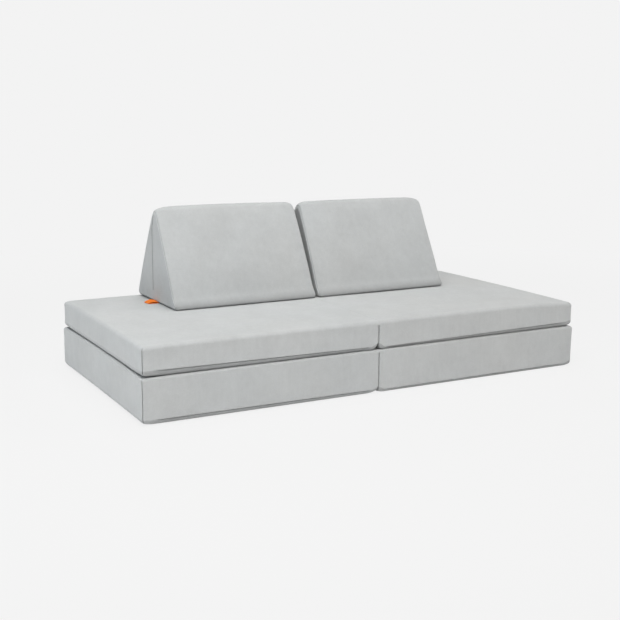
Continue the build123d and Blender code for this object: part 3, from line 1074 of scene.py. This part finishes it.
class SOFA_OT_zip(bpy.types.Operator):
    """Fit one cover's zip: two woven tapes, their coil, the slider and its pull"""
    bl_idname = "sofa.zip"
    bl_label = "Zip"

    cushion: bpy.props.EnumProperty(
        name="Cushion", description="Which kind of cushion the zip closes",
        items=[("base", "Base", "Along the front of the base"),
               ("seat", "Seat", "Along the front of the seat"),
               ("pillow", "Pillow", "Up the outer end of a pillow")])
    hand: bpy.props.EnumProperty(
        name="Hand", description="Which side of the sofa",
        items=[("left", "Left", "The left side"), ("right", "Right", "The right side")])

    def execute(self, context):
        look = context.scene.sofa_fabric
        body = f"{self.cushion}_{self.hand}"
        length, origin, turned = zip_place(self.cushion, self.hand)
        tapes, teeth = zip_tapes(length * 1000), zip_teeth(length * 1000)
        tape = zip_piece(f"{body}_zip_tape", tapes + teeth, origin, turned)
        weave = woven_material("Woven zip tape", look.tape, roughness=0.8, threads=1100.0, depth=0.35)
        finish_piece(tape, weave, body, (f"{body}_zip",))
        tape.data.materials.append(coil_nylon())
        tape_faces = sum(len(loft_faces(*piece.shape[:2], 0)) for piece in tapes)
        kinds = np.ones(len(tape.data.polygons), int)
        kinds[:tape_faces] = 0
        tape.data.polygons.foreach_set("material_index", kinds)
        low, high = corners_of(f"{body}_slider")
        middle = ((low + high) / 2 - origin) @ turned.T @ (1000, 0, 0)
        slider = zip_piece(f"{body}_zip_slider", slider_pieces(middle), origin, turned)
        finish_piece(slider, zip_metal(), f"{body}_slider", (f"{body}_slider",))
        pull = zip_piece(f"{body}_zip_pull", [], origin, turned, [pull_plate(middle)])
        finish_piece(pull, zip_metal(), f"{body}_slider", (f"{body}_pull",))
        return {"FINISHED"}


# Tag

TAG_ROOT_REACH = 0.0015
TAG_FORWARD = 0.007
TAG_THICKNESS = 0.0009
TAG_COLUMNS = 9
TAG_STEPS = 18
TAG_FOLD = {"degrees": 30, "reach": 0.0008, "radius": 0.0010}
TAG_ROOT_GAP = 0.0011
TAG_CLEARANCE = 0.2 * TAG_THICKNESS
TAG_BOW = {"height": 0.0068, "lean": 0.9, "fullness": 0.8, "front": 0.72, "more_at_back": 0.28}
TAG_LIFT = 0.0016
TAG_SLANT = 0.004
TAG_TAPER = 0.10


def tag_path(root, tip):
    """The ribbon's middle line: x, height, and the way its face looks in x and z, out, round and back."""
    reach, fold, radius = root - tip, TAG_FOLD["reach"], TAG_FOLD["radius"]
    shares = np.linspace(0, 1, TAG_STEPS + 1)
    path = [(root - reach * share, 0.0, 0.0, -1.0) for share in shares[:-1]]
    for degrees in range(0, 181, TAG_FOLD["degrees"]):
        turn = math.radians(degrees)
        path.append((tip - fold * math.sin(turn) + fold, radius - radius * math.cos(turn),
                     -math.sin(turn), -math.cos(turn)))
    for share in shares[1:]:
        path.append((tip + reach * share, 2 * radius * (1 - share) + TAG_ROOT_GAP * share, 0.0, 1.0))
    return np.array(path)


def folded_tag():
    """A ribbon folded back on itself: its lower half on the seat, its upper half bowed up over it."""
    low, high = corners_of("pillow_left_tag")
    root, tip = high[0] + TAG_ROOT_REACH, low[0]
    path_x, path_z, face_x, face_z = tag_path(root, tip).T
    share = np.clip((root - path_x) / (root - tip), 0, 1)
    columns = np.linspace(0, 1, TAG_COLUMNS)[:, None]
    bow = TAG_BOW["height"] * np.sin(math.pi * share ** TAG_BOW["lean"]) ** TAG_BOW["fullness"]
    bow = bow * (face_z > 0.5) * (TAG_BOW["front"] + TAG_BOW["more_at_back"] * columns)
    lift = TAG_LIFT * np.sin(math.pi * share) * columns
    slant = TAG_SLANT * (0.5 - columns) * share ** 2
    y = columns * (1 - TAG_TAPER * share) + TAG_TAPER / 2 * share
    y = low[1] - TAG_FORWARD + (high[1] - low[1]) * y
    caps = []
    for offset in (0.0, TAG_THICKNESS):
        x = path_x - face_x * offset + slant
        caps.append(points_at(x, y, low[2] + path_z - face_z * offset + bow + lift + TAG_CLEARANCE))
    return flat_shell("pillow_left_folded_tag", *caps)


class SOFA_OT_tag(bpy.types.Operator):
    """Lay the folded, bare woven tag at the foot of the left pillow"""
    bl_idname = "sofa.tag"
    bl_label = "Tag"

    def execute(self, context):
        look = context.scene.sofa_fabric
        tag = folded_tag()
        weave = woven_material("Woven tag", look.tag, roughness=0.7, threads=900.0, depth=0.22)
        finish_piece(tag, weave, "pillow_left", ("pillow_left_tag",))
        return {"FINISHED"}


# Pillows and their cloth

PILLOW_DEPTH = 0.377
PILLOW_SEEDS = {"left": 71, "right": 97}
HEIGHT_STEPS = (0.007, 0.007, 0.022)
COLUMN_STEPS = (0.010, 0.04, 0.036)
END_STEP = 0.0018
ALONG_STRETCH = 1.3

RIDGE_ROOM = 0.003
RIDGE_SQUEEZE = 0.995
# How long each pillow's ridge turns down, at its left end and at its right end
RIDGE_TURNS = {"left": (0.085, 0.040), "right": (0.040, 0.075)}
RIDGE_TURN_DROP = 0.020
RIDGE_TURN_ROUNDNESS = 2.4
SWELL_SHAPE = {"low": 0.8, "middle": 0.9, "more_at_ends": 0.35}
INSET_SHARES = {"ridge": 0.35, "more_at_foot": 0.65}
FOOT_SAG = {"front": 0.021, "back": 0.003, "height": 0.12}
# How far each pillow's two ends reach out, and how far its ridge rises at them
END_REACH = {"left": (0.0, 0.0035), "right": (-0.0035, 0.0)}
END_RISE = {"left": (0.0080, 0.0022), "right": (0.0015, -0.0035)}
FOOT_LEAN = {"left": 0.0, "right": 0.0095}
FRONT_DRAW = {"left": 0.0, "right": 0.006}
FRONT_DRAW_START, FRONT_DRAW_EASE = 0.030, 0.070

# Rings over an end's edge: degrees round it, share of the seam's depth
END_SEAM = ((18, 0.0), (32, 0.15), (40, 0.55), (44, 1.0), (47, 1.0), (51, 0.55), (58, 0.15), (72, 0.0))
END_SEAM_MARK = 0.55
# Painted shade: slopes darker towards the foot, a dark line where they meet the seat, and the end panels
# that face the gap between the pillows
PILLOW_FOOT_SHADE, PILLOW_FOOT_HEIGHT = 0.80, 0.034
PILLOW_CONTACT_SHADE = {"share": 0.35, "start": 0.006, "ramp": 0.004}
GAP_SHADE = {"share": 0.6, "width": 0.12}

# The pocket at the zip in an end panel, up to its middle: place across it, depth
ZIP_LIPS_MM = (
    (-6.0, 0.0), (-4.6, 0.05), (-3.0, 0.15), (-1.9, 0.3), (-1.3, 0.5), (-1.1, 0.8), (-1.2, 1.1),
    (-2.0, 1.2), (-5.6, 1.3), (-6.0, 3.2), (-5.5, 5.3), (0.0, 5.35),
)
ZIP_HALF_WIDTH = 0.006
ZIP_SPAN = (0.038, 0.281)
ZIP_EASE = 0.004
ZIP_ASIDE_SHARE = 0.5
ZIP_MOST_ASIDE = 0.8
LIP_RISE = 0.0002
# Depth at which the zip's pocket gets its full painted shade
LIP_SHADE_DEPTH = 0.0006
END_HOLLOW_AT_ZIP = 3
STITCH = {"depth": 0.0026, "width": 0.0007, "top": 0.985, "ease": 0.006}
# Widths of the stitched line's darkening: painted shade of the dip beside it, and the dark line itself
STITCH_LINE_AND_SHADE_WIDTHS = (0.0045, 0.0017)


def ridge_drop(distance, length):
    """How far the ridge has fallen at a distance from the pillow's end."""
    share = np.clip(1 - distance / length, 0, 1)
    return RIDGE_TURN_DROP * (1 - (1 - share ** RIDGE_TURN_ROUNDNESS) ** (1 / RIDGE_TURN_ROUNDNESS))


class WedgePlan:
    """The form of one wedge pillow, from its CAD cover's box, and the grid of its end panels."""

    def __init__(self, hand):
        self.hand, self.sizes = hand, bpy.context.scene.sofa_pillow
        self.low, self.high = corners_of(f"pillow_{hand}_cover")
        self.middle_y, self.tall = (self.low[1] + self.high[1]) / 2, self.high[2] - self.low[2]
        zip_low, zip_high = corners_of(f"pillow_{hand}_zip")
        self.zip_front, self.zip_y = zip_low[1], (zip_low[1] + zip_high[1]) / 2
        lips = np.array(ZIP_LIPS_MM) / 1000
        self.lips = np.concatenate((lips, (lips * (-1, 1))[-2::-1]))
        self.flat_lips = np.linspace(-1, 1, len(self.lips)) * ZIP_HALF_WIDTH
        self.heights = graded(0.0, 1.0, *HEIGHT_STEPS)
        halves = self.half(self.heights)
        self.aside = np.minimum(self.zip_y - self.middle_y, ZIP_ASIDE_SHARE * halves)
        middle = (self.flat_lips[:, None] + self.aside) / halves
        middle = np.clip(middle, -ZIP_MOST_ASIDE, ZIP_MOST_ASIDE)
        outer = graded(-1.0, 0.0, *COLUMN_STEPS)[:-1]
        left = -1 + (outer[:, None] + 1) * (middle[:1] + 1)
        right = 1 - (outer[::-1, None] + 1) * (1 - middle[-1:])
        self.zip_columns = slice(len(outer), len(outer) + len(middle))
        self.grid_u = np.concatenate((left, middle, right))
        self.grid_v = np.broadcast_to(self.heights, self.grid_u.shape)
        places = tuple(rim(*self.grid_u.shape).T)
        self.rim_u, self.rim_v = self.grid_u[places], self.grid_v[places]

    def half(self, share):
        """Half the wedge's width at a share of its height, before it swells."""
        return PILLOW_DEPTH / 2 * (1 - share) + (self.sizes.ridge_width / 2 + RIDGE_ROOM) * share

    def place(self, x, u, v, inset):
        """Where a point of the sharp wedge lies: x along it, u across it, v up it, inset at its ends."""
        sizes, foot_half = self.sizes, PILLOW_DEPTH / 2
        left_end, right_end = x - self.low[0], self.high[0] - x
        along = (left_end - right_end) / (left_end + right_end)
        left_turn, right_turn = RIDGE_TURNS[self.hand]
        left_rise, right_rise = END_RISE[self.hand]
        drop = ridge_drop(left_end, left_turn) + ridge_drop(right_end, right_turn)
        drop = drop + sizes.ridge_fall * along ** 2
        drop = drop - left_rise * (1 - along) / 2 - right_rise * (1 + along) / 2
        upper = v > 0.5
        flat_x, flat_z = round_corners(
            u * foot_half, v * self.tall, (-foot_half, foot_half, 0.0, self.tall),
            np.where(upper, foot_half * RIDGE_SQUEEZE, sizes.foot_radius),
            np.where(upper, sizes.ridge_radius, sizes.foot_radius))
        share = flat_z / self.tall
        swell = sizes.swell * (4 * share ** SWELL_SHAPE["low"] * (1 - share))
        swell = swell * (SWELL_SHAPE["middle"] + SWELL_SHAPE["more_at_ends"] * along ** 4)
        at_foot = np.clip(1 - share / FOOT_SAG["height"], 0, 1) ** 2
        sag = np.where(u < 0, FOOT_SAG["front"], FOOT_SAG["back"]) * at_foot
        inset_y = inset * (INSET_SHARES["ridge"] + INSET_SHARES["more_at_foot"] * (1 - share))
        y = flat_x / foot_half * (self.half(share) + swell + sag - inset_y)
        z = flat_z * (self.tall - 2 * inset) / self.tall + inset - drop * share ** 3
        return self.middle_y + y, self.low[2] + z

    def ring(self, x, inset):
        """Points once round the pillow at a place along it."""
        return points_at(x, *self.place(x, self.rim_u, self.rim_v, inset))

    def end_arc(self, end_x, outward):
        """Rings over the rounded edge at an end, with the groove of its seam."""
        arc = []
        for degrees, seam in END_SEAM:
            turn, sunk = math.radians(degrees), self.sizes.seam_depth * seam
            inset = self.sizes.end_radius * (1 - math.sin(turn)) + sunk
            shift = self.sizes.end_radius * (1 - math.cos(turn)) + sunk
            arc.append(self.ring(end_x - outward * shift, inset))
        return arc

    def zip_in_end(self, y, z, depth):
        """Lays the zip's lips, pocket and stitching into an end panel and returns its marks: painted shade
        in the pocket, and the stitched line with painted shade of the dip beside it.
        """
        height = z - self.low[2]
        inside = window(height, *ZIP_SPAN, ZIP_EASE)
        seam = window(height, ZIP_SPAN[0], self.tall * STITCH["top"], STITCH["ease"])
        lip_y, groove = self.lips[:, :1], self.lips[:, 1:] - LIP_RISE
        y += inside * (self.middle_y + self.aside + lip_y - y)
        stitched = STITCH["depth"] * near(self.flat_lips, 0, STITCH["width"])[:, None] * seam * (1 - inside)
        depth += inside * (groove - depth) + stitched
        line = np.mean([near(self.flat_lips, 0, width) for width in STITCH_LINE_AND_SHADE_WIDTHS], axis=0)
        return np.maximum(inside * np.clip(groove / LIP_SHADE_DEPTH, 0, 1), seam * line[:, None])

    def end_cap(self, end_x, outward):
        """An end panel and its marks: hollowed, with the zip at the sofa's outer end, and painted shade on
        the end that faces the other pillow.
        """
        u, v = self.grid_u, self.grid_v
        y, z = self.place(np.full(u.shape, end_x), u, v, self.sizes.end_radius)
        from_zip = np.abs(u - self.aside / self.half(self.heights))
        hollow = np.clip(from_zip * END_HOLLOW_AT_ZIP, 0, 1) * (1 - u ** 2) * 4 * v * (1 - v)
        depth = self.sizes.end_draw * hollow
        marks = np.zeros(u.shape)
        if outward == HANDS[self.hand]:
            columns = self.zip_columns
            marks[columns] = self.zip_in_end(y[columns], z[columns], depth[columns])
        # The end that faces the other pillow gets painted shade for the gap
        else:
            marks += GAP_SHADE["share"] * np.clip((1 - np.abs(u)) / GAP_SHADE["width"], 0, 1)
        return points_at(end_x - outward * depth, y, z), marks

    def lean(self, points):
        """Moves points near the ends along the pillow: its ends reach out, lean and draw in."""
        left_reach, right_reach = END_REACH[self.hand]
        share = (points[..., 0] - self.low[0]) / (self.high[0] - self.low[0])
        lower = np.clip(1 - (points[..., 2] - self.low[2]) / self.tall, 0, 1)
        in_front = smooth((self.zip_front - FRONT_DRAW_START - points[..., 1]) / FRONT_DRAW_EASE)
        left = left_reach + FOOT_LEAN[self.hand] * lower
        right = right_reach - FRONT_DRAW[self.hand] * in_front
        points[..., 0] += -left * (1 - share) ** 3 + right * share ** 3


def wedge_pillow(hand):
    """A wedge pillow's closed mesh, from its CAD cover's box and the pillow sizes."""
    plan = WedgePlan(hand)
    low, high, radius = plan.low, plan.high, plan.sizes.end_radius
    xs = graded(low[0] + radius, high[0] - radius, END_STEP, END_STEP, plan.sizes.grid * ALONG_STRETCH)
    slopes = [plan.ring(x, 0.0) for x in xs]
    rings = np.array(plan.end_arc(low[0], -1) + slopes + plan.end_arc(high[0], 1)[::-1])
    marks = np.zeros(rings.shape[:2])
    seam_marks = np.array([[share * END_SEAM_MARK] for degrees, share in END_SEAM])
    marks[:len(END_SEAM)] = seam_marks
    marks[-len(END_SEAM):] = seam_marks[::-1]
    # Painted shade: the slopes darker towards the foot and darkest at the contact
    above = rings[..., 2] - low[2]
    foot = PILLOW_FOOT_SHADE * np.clip(1 - above / PILLOW_FOOT_HEIGHT, 0, 1)
    marks = np.maximum(marks, foot + shade_below(above, **PILLOW_CONTACT_SHADE))
    left_cap, left_marks = plan.end_cap(low[0], -1)
    right_cap, right_marks = plan.end_cap(high[0], 1)
    for points in (rings, left_cap, right_cap):
        pucker(points, plan, PILLOW_SEEDS[hand])
        plan.lean(points)
    seams = (left_marks, marks, right_marks)
    return closed_shell(f"pillow_{hand}_fabric", left_cap, rings, right_cap, seams)


GATHERS = {"wavelength": 0.017, "waves": 7, "stretch": (0.35, 1.0, 1.0)}
GATHERS_REACH, GATHERS_START, GATHERS_EASE = 0.012, 0.001, 0.003
GATHERS_PATCHES = {"wavelength": 0.12, "middle": 0.55, "spread": 0.6, "least": 0.1}
SLOW_WAVES = ((0.16, 0.0011), (0.05, 0.00035))
CALM = {"foot": 0.05, "end": 0.03, "middle": 0.012}


def pucker(points, plan, seed):
    """Small gathers along the end seams and a slow unevenness of the slopes."""
    end_room = np.minimum(points[..., 0] - plan.low[0], plan.high[0] - points[..., 0])
    gathers = swing(points * np.array(GATHERS["stretch"]), GATHERS["wavelength"], seed, GATHERS["waves"])
    patches = GATHERS_PATCHES["spread"] * swing(points, GATHERS_PATCHES["wavelength"], seed + 8)
    patches = np.clip(GATHERS_PATCHES["middle"] + patches, GATHERS_PATCHES["least"], 1)
    strength = np.exp(-end_room / GATHERS_REACH) * (1 - np.exp(-(end_room + GATHERS_START) / GATHERS_EASE))
    slow = sum(swing(points, wavelength, seed + 3 + number) * height
               for number, (wavelength, height) in enumerate(SLOW_WAVES))
    above = (points[..., 2] - plan.low[2]) / CALM["foot"]
    calm = np.clip(above, 0, 1) * np.clip(end_room / CALM["end"], 0, 1)
    from_middle = points[..., 1] - plan.middle_y
    aside = np.sign(from_middle) * np.clip(np.abs(from_middle) / CALM["middle"], 0, 1)
    points[..., 1] += aside * (plan.sizes.pucker * gathers * (strength * patches) + slow * calm)


PUFF_VOXEL = 0.009
PUFF_FRAMES = 12
PUFF_PRESSURE = 0.6
PUFF_STIFFNESS = {"tension": 60.0, "compression": 60.0, "bending": 0.5}
PUFF_QUALITY = 6
PUFF_CAP = 0.0060
SHORTEST_MOVE = 1e-9
PUFF_NEIGHBOURS = 6
PUFF_SOFTENING = 0.002
PUFF_SEWN = {"start": 0.004, "ease": 0.100}
PUFF_END = {"share": 0.35, "reach": 0.0095, "ease": 0.003}
PUFF_ZIP = {"start": 0.012, "ease": 0.030}
PUFF_EDGE = {"start": 0.006, "ease": 0.030}
PUFF_FOOT_EASE = 0.150


def points_of(mesh):
    """A mesh's points as an array."""
    flat = np.empty(len(mesh.vertices) * 3)
    mesh.vertices.foreach_get("co", flat)
    return flat.reshape(-1, 3)


def blown_up(thing):
    """Blows up a coarse copy of a cover as cloth; gives its points and how far each one moved."""
    scene = bpy.context.scene
    coarse = bpy.data.objects.new(f"{thing.name}_coarse", thing.data.copy())
    scene.collection.objects.link(coarse)
    remesh = coarse.modifiers.new("Coarse", "REMESH")
    remesh.mode = "VOXEL"
    remesh.voxel_size = PUFF_VOXEL
    remeshed = coarse.evaluated_get(bpy.context.evaluated_depsgraph_get())
    coarse.data = bpy.data.meshes.new_from_object(remeshed)
    coarse.modifiers.clear()
    before = points_of(coarse.data)
    fabric = coarse.modifiers.new("Cloth", "CLOTH").settings
    fabric.use_pressure = True
    fabric.uniform_pressure_force = PUFF_PRESSURE
    fabric.effector_weights.gravity = 0.0
    fabric.quality = PUFF_QUALITY
    fabric.tension_stiffness = PUFF_STIFFNESS["tension"]
    fabric.compression_stiffness = PUFF_STIFFNESS["compression"]
    fabric.bending_stiffness = PUFF_STIFFNESS["bending"]
    for number in range(1, PUFF_FRAMES + 1):
        scene.frame_set(number)
    shaped = coarse.evaluated_get(bpy.context.evaluated_depsgraph_get())
    moved = points_of(shaped.data) - before
    bpy.data.objects.remove(coarse)
    scene.frame_set(1)
    return before, moved


def past(values, start, ease):
    """Values past a start as shares of an ease, not clipped."""
    return (values - start) / ease


def puff_share(points, low, high, zip_y):
    """How much of the cloth's movement each point takes: none at the seams, the foot and the zip."""
    x, y, z = points.T
    end_room = np.minimum(x - low[0], high[0] - x)
    sewn = smooth(past(end_room, **PUFF_SEWN))
    at_end = PUFF_END["share"] * np.clip((PUFF_END["reach"] - end_room) / PUFF_END["ease"], 0, 1)
    from_zip = np.clip(past(np.abs(y - zip_y), **PUFF_ZIP), 0, 1)
    slope_room = (high[1] - low[1]) / 2 * (1 - (z - low[2]) / (high[2] - low[2]))
    from_edge = np.clip(past(slope_room - np.abs(y - (low[1] + high[1]) / 2), **PUFF_EDGE), 0, 1)
    return np.maximum(sewn, at_end * from_zip * from_edge) * smooth((z - low[2]) / PUFF_FOOT_EASE)


def puff_up(thing, low, high, zip_y):
    """Carries the movement of a blown-up coarse copy over to a cover's own points, up to a cap."""
    before, moved = blown_up(thing)
    lengths = np.linalg.norm(moved, axis=1)[:, None]
    moved = moved * np.minimum(1, PUFF_CAP / np.maximum(lengths, SHORTEST_MOVE))
    tree = KDTree(len(before))
    for number, place in enumerate(before):
        tree.insert(place, number)
    tree.balance()
    points = points_of(thing.data)
    for number, share in enumerate(puff_share(points, low, high, zip_y)):
        if share > 0:
            found = tree.find_n(points[number], PUFF_NEIGHBOURS)
            weights = np.array([1 / (distance + PUFF_SOFTENING) ** 2 for _, _, distance in found])
            carried = weights @ moved[[index for _, index, _ in found]] / weights.sum()
            points[number] += share * carried
    thing.data.vertices.foreach_set("co", points.ravel())
    thing.data.update()


class SOFA_OT_pillow(bpy.types.Operator):
    """Dress one wedge pillow: slopes, ridge, end panels and end seams"""
    bl_idname = "sofa.pillow"
    bl_label = "Wedge Pillow"

    hand: bpy.props.EnumProperty(
        name="Hand", description="Which of the two pillows",
        items=[("left", "Left", "The pillow with the tag"), ("right", "Right", "The other pillow")])

    def execute(self, context):
        cover = wedge_pillow(self.hand)
        low, high = corners_of(f"pillow_{self.hand}_cover")
        zip_low, zip_high = corners_of(f"pillow_{self.hand}_zip")
        puff_up(cover, low, high, (zip_low[1] + zip_high[1]) / 2)
        finish_piece(cover, cover_fabric(), f"pillow_{self.hand}",
                     (f"pillow_{self.hand}_cover", f"pillow_{self.hand}_foam"))
        return {"FINISHED"}


# Floor, light and camera

class SOFA_OT_stage(bpy.types.Operator):
    """Set the pale floor, the soft studio light and the camera"""
    bl_idname = "sofa.stage"
    bl_label = "Stage"

    def execute(self, context):
        look = context.scene.sofa_stage
        lay_floor(look)
        light_world(look)
        hang_lights()
        aim_camera(look)
        context.scene.view_settings.view_transform = "Standard"
        return {"FINISHED"}


FLOOR_HALF_SIZE = 60.0
FLOOR_DROP = 0.0005
FLOOR_SHADOW_SHARE = 0.09
FLOOR_BOUNCE = 0.9
FLOOR_GLOW = 0.17
SHADOW_REACH = (1.4, 3.4)
WORLD_TINT = (0.95, 0.98, 1.0, 1.0)
WORLD_STRENGTH = 0.04
LAMP_AIM = (0.0, 0.0, 0.2)
# Each lamp's name, place, size, power and colour
LAMPS = (
    ("top_light", (0.0, 0.0, 8.8), (8.1, 8.1), 419.0, (1.0, 1.0, 0.985)),
    ("key_light", (-1.1, -1.6, 2.6), (2.0, 2.0), 47.0, (1.0, 0.99, 0.975)),
    ("left_light", (-3.2, -0.2, 1.3), (2.0, 2.0), 19.2, (0.87, 0.945, 1.0)),
    ("right_light", (3.0, -1.2, 1.8), (2.0, 2.0), 26.0, (1.0, 0.99, 0.98)),
    ("rim_light", (-0.6, 1.8, 2.8), (2.6, 1.6), 6.0, (1.0, 1.0, 1.0)),
    ("back_light", (0.6, 3.4, 1.5), (2.4, 1.6), 22.0, (1.0, 0.99, 0.98)),
)
FRAME_PX = 620
SENSOR_MM = 36.0
FAR_CLIP = 200.0


def camera_sees(tree):
    """A value of 1 for camera, glossy and transmission rays and 0 for the rest."""
    path = new_node(tree, "ShaderNodeLightPath", {})
    seen = combine(tree, "MAXIMUM", path.outputs["Is Camera Ray"], path.outputs["Is Glossy Ray"])
    return combine(tree, "MAXIMUM", seen, path.outputs["Is Transmission Ray"])


def shadow_share(tree):
    """How much of the sofa's shadow the floor shows: a little near it and none far out."""
    place = new_node(tree, "ShaderNodeTexCoord", {}).outputs["Object"]
    away = new_node(tree, "ShaderNodeVectorMath", {0: place}, operation="LENGTH").outputs["Value"]
    inner, outer = SHADOW_REACH
    limits = {"From Min": inner, "From Max": outer, "To Min": FLOOR_SHADOW_SHARE, "To Max": 0.0}
    fade = new_node(tree, "ShaderNodeMapRange", {"Value": away, **limits}, interpolation_type="SMOOTHSTEP")
    return fade.outputs["Result"]


def lay_floor(look):
    """A wide pale floor that keeps a soft share of the sofa's shadow."""
    mesh = bpy.data.meshes.new("studio_floor")
    corners = [(x * FLOOR_HALF_SIZE, y * FLOOR_HALF_SIZE, -FLOOR_DROP)
               for x, y in ((-1, -1), (1, -1), (1, 1), (-1, 1))]
    mesh.from_pydata(corners, [], [(0, 1, 2, 3)])
    floor = bpy.data.objects.new("studio_floor", mesh)
    bpy.context.scene.collection.objects.link(floor)
    material = bpy.data.materials.new("Studio floor")
    material.use_nodes = True
    tree = material.node_tree
    tree.nodes.clear()
    lit = new_node(tree, "ShaderNodeBsdfDiffuse", {"Color": (*[FLOOR_BOUNCE] * 3, 1.0)})
    glow = new_node(tree, "ShaderNodeEmission", {"Color": (*look.floor, 1.0)})
    shown = new_node(tree, "ShaderNodeMixShader",
                     {"Fac": shadow_share(tree), 1: glow.outputs[0], 2: lit.outputs[0]})
    bounce = new_node(tree, "ShaderNodeEmission", {"Strength": FLOOR_GLOW})
    bright = new_node(tree, "ShaderNodeAddShader", {0: lit.outputs[0], 1: bounce.outputs[0]})
    mix = new_node(tree, "ShaderNodeMixShader",
                   {"Fac": camera_sees(tree), 1: bright.outputs[0], 2: shown.outputs[0]})
    new_node(tree, "ShaderNodeOutputMaterial", {"Surface": mix.outputs[0]})
    mesh.materials.append(material)


def light_world(look):
    """Even light from all round, and the backdrop that the camera sees."""
    world = bpy.data.worlds.new("Studio")
    bpy.context.scene.world = world
    world.use_nodes = True
    tree = world.node_tree
    tree.nodes.clear()
    soft = new_node(tree, "ShaderNodeBackground", {"Color": WORLD_TINT, "Strength": WORLD_STRENGTH})
    backdrop = new_node(tree, "ShaderNodeBackground", {"Color": (*look.floor, 1.0)})
    mix = new_node(tree, "ShaderNodeMixShader",
                   {"Fac": camera_sees(tree), 1: soft.outputs[0], 2: backdrop.outputs[0]})
    new_node(tree, "ShaderNodeOutputWorld", {"Surface": mix.outputs[0]})


def hang_lights():
    """Large soft lamps, each with its name, place, size, power and colour, all aimed at the sofa."""
    for name, place, size, power, colour in LAMPS:
        lamp = bpy.data.lights.new(name, "AREA")
        lamp.shape = "RECTANGLE"
        lamp.size, lamp.size_y = size
        lamp.energy = power
        lamp.color = colour
        thing = bpy.data.objects.new(name, lamp)
        thing.location = place
        thing.rotation_euler = (Vector(LAMP_AIM) - Vector(place)).to_track_quat("-Z", "Y").to_euler()
        bpy.context.scene.collection.objects.link(thing)


def aim_camera(look):
    """The camera at the photograph's angle."""
    turn, rise = look.azimuth, look.elevation
    back = np.array((math.sin(turn) * math.cos(rise), -math.cos(turn) * math.cos(rise), math.sin(rise)))
    lens = bpy.data.cameras.new("photo_camera")
    lens.sensor_width = lens.sensor_height = SENSOR_MM
    lens.sensor_fit = "HORIZONTAL"
    lens.lens = look.focal_px * SENSOR_MM / FRAME_PX
    lens.shift_x = (FRAME_PX / 2 - look.centre_px) / FRAME_PX
    lens.clip_end = FAR_CLIP
    camera = bpy.data.objects.new("photo_camera", lens)
    camera.location = np.array((look.aim_x, 0.0, look.aim_z)) + back * look.distance
    camera.rotation_euler = (math.pi / 2 - rise, 0.0, turn)
    bpy.context.scene.collection.objects.link(camera)
    bpy.context.scene.camera = camera


# Panel and registration

class SOFA_PT_panel(bpy.types.Panel):
    """Sizes, colours and steps of the play sofa"""
    bl_idname = "SOFA_PT_panel"
    bl_label = "Play Sofa"
    bl_space_type = "VIEW_3D"
    bl_region_type = "UI"
    bl_category = "Play Sofa"

    def draw(self, context):
        column = self.layout.column()
        for group in (context.scene.sofa_cover, context.scene.sofa_pillow,
                      context.scene.sofa_fabric, context.scene.sofa_stage):
            for field in group.bl_rna.properties:
                if not field.is_readonly and field.identifier != "name":
                    column.prop(group, field.identifier)
        for cushion in CUSHIONS:
            column.operator("sofa.folding_cushion", text=f"{cushion.title()} Cushion").cushion = cushion
        for hand in HANDS:
            column.operator("sofa.pillow", text=f"{hand.title()} Pillow").hand = hand
        for cushion, hand in ZIPS:
            button = column.operator("sofa.zip", text=f"{cushion.title()} {hand.title()} Zip")
            button.cushion, button.hand = cushion, hand
        column.operator("sofa.tag")
        column.operator("sofa.stage")


GROUPS = {"sofa_cover": CoverSizes, "sofa_pillow": PillowSizes, "sofa_fabric": FabricLook,
          "sofa_stage": StageLook}
CLASSES = (*GROUPS.values(), SOFA_OT_folding_cushion, SOFA_OT_pillow, SOFA_OT_zip, SOFA_OT_tag,
           SOFA_OT_stage, SOFA_PT_panel)


def register():
    """Adds the sizes, the operators and the panel."""
    for kind in CLASSES:
        bpy.utils.register_class(kind)
    for name, kind in GROUPS.items():
        setattr(bpy.types.Scene, name, bpy.props.PointerProperty(type=kind))


def unregister():
    """Takes away what register added."""
    for name in GROUPS:
        delattr(bpy.types.Scene, name)
    for kind in reversed(CLASSES):
        bpy.utils.unregister_class(kind)


def main():
    """Builds the whole sofa and its studio."""
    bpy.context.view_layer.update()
    register()
    for cushion in CUSHIONS:
        bpy.ops.sofa.folding_cushion(cushion=cushion)
    for hand in HANDS:
        bpy.ops.sofa.pillow(hand=hand)
    for cushion, hand in ZIPS:
        bpy.ops.sofa.zip(cushion=cushion, hand=hand)
    bpy.ops.sofa.tag()
    bpy.ops.sofa.stage()


if __name__ == "__main__":
    main()
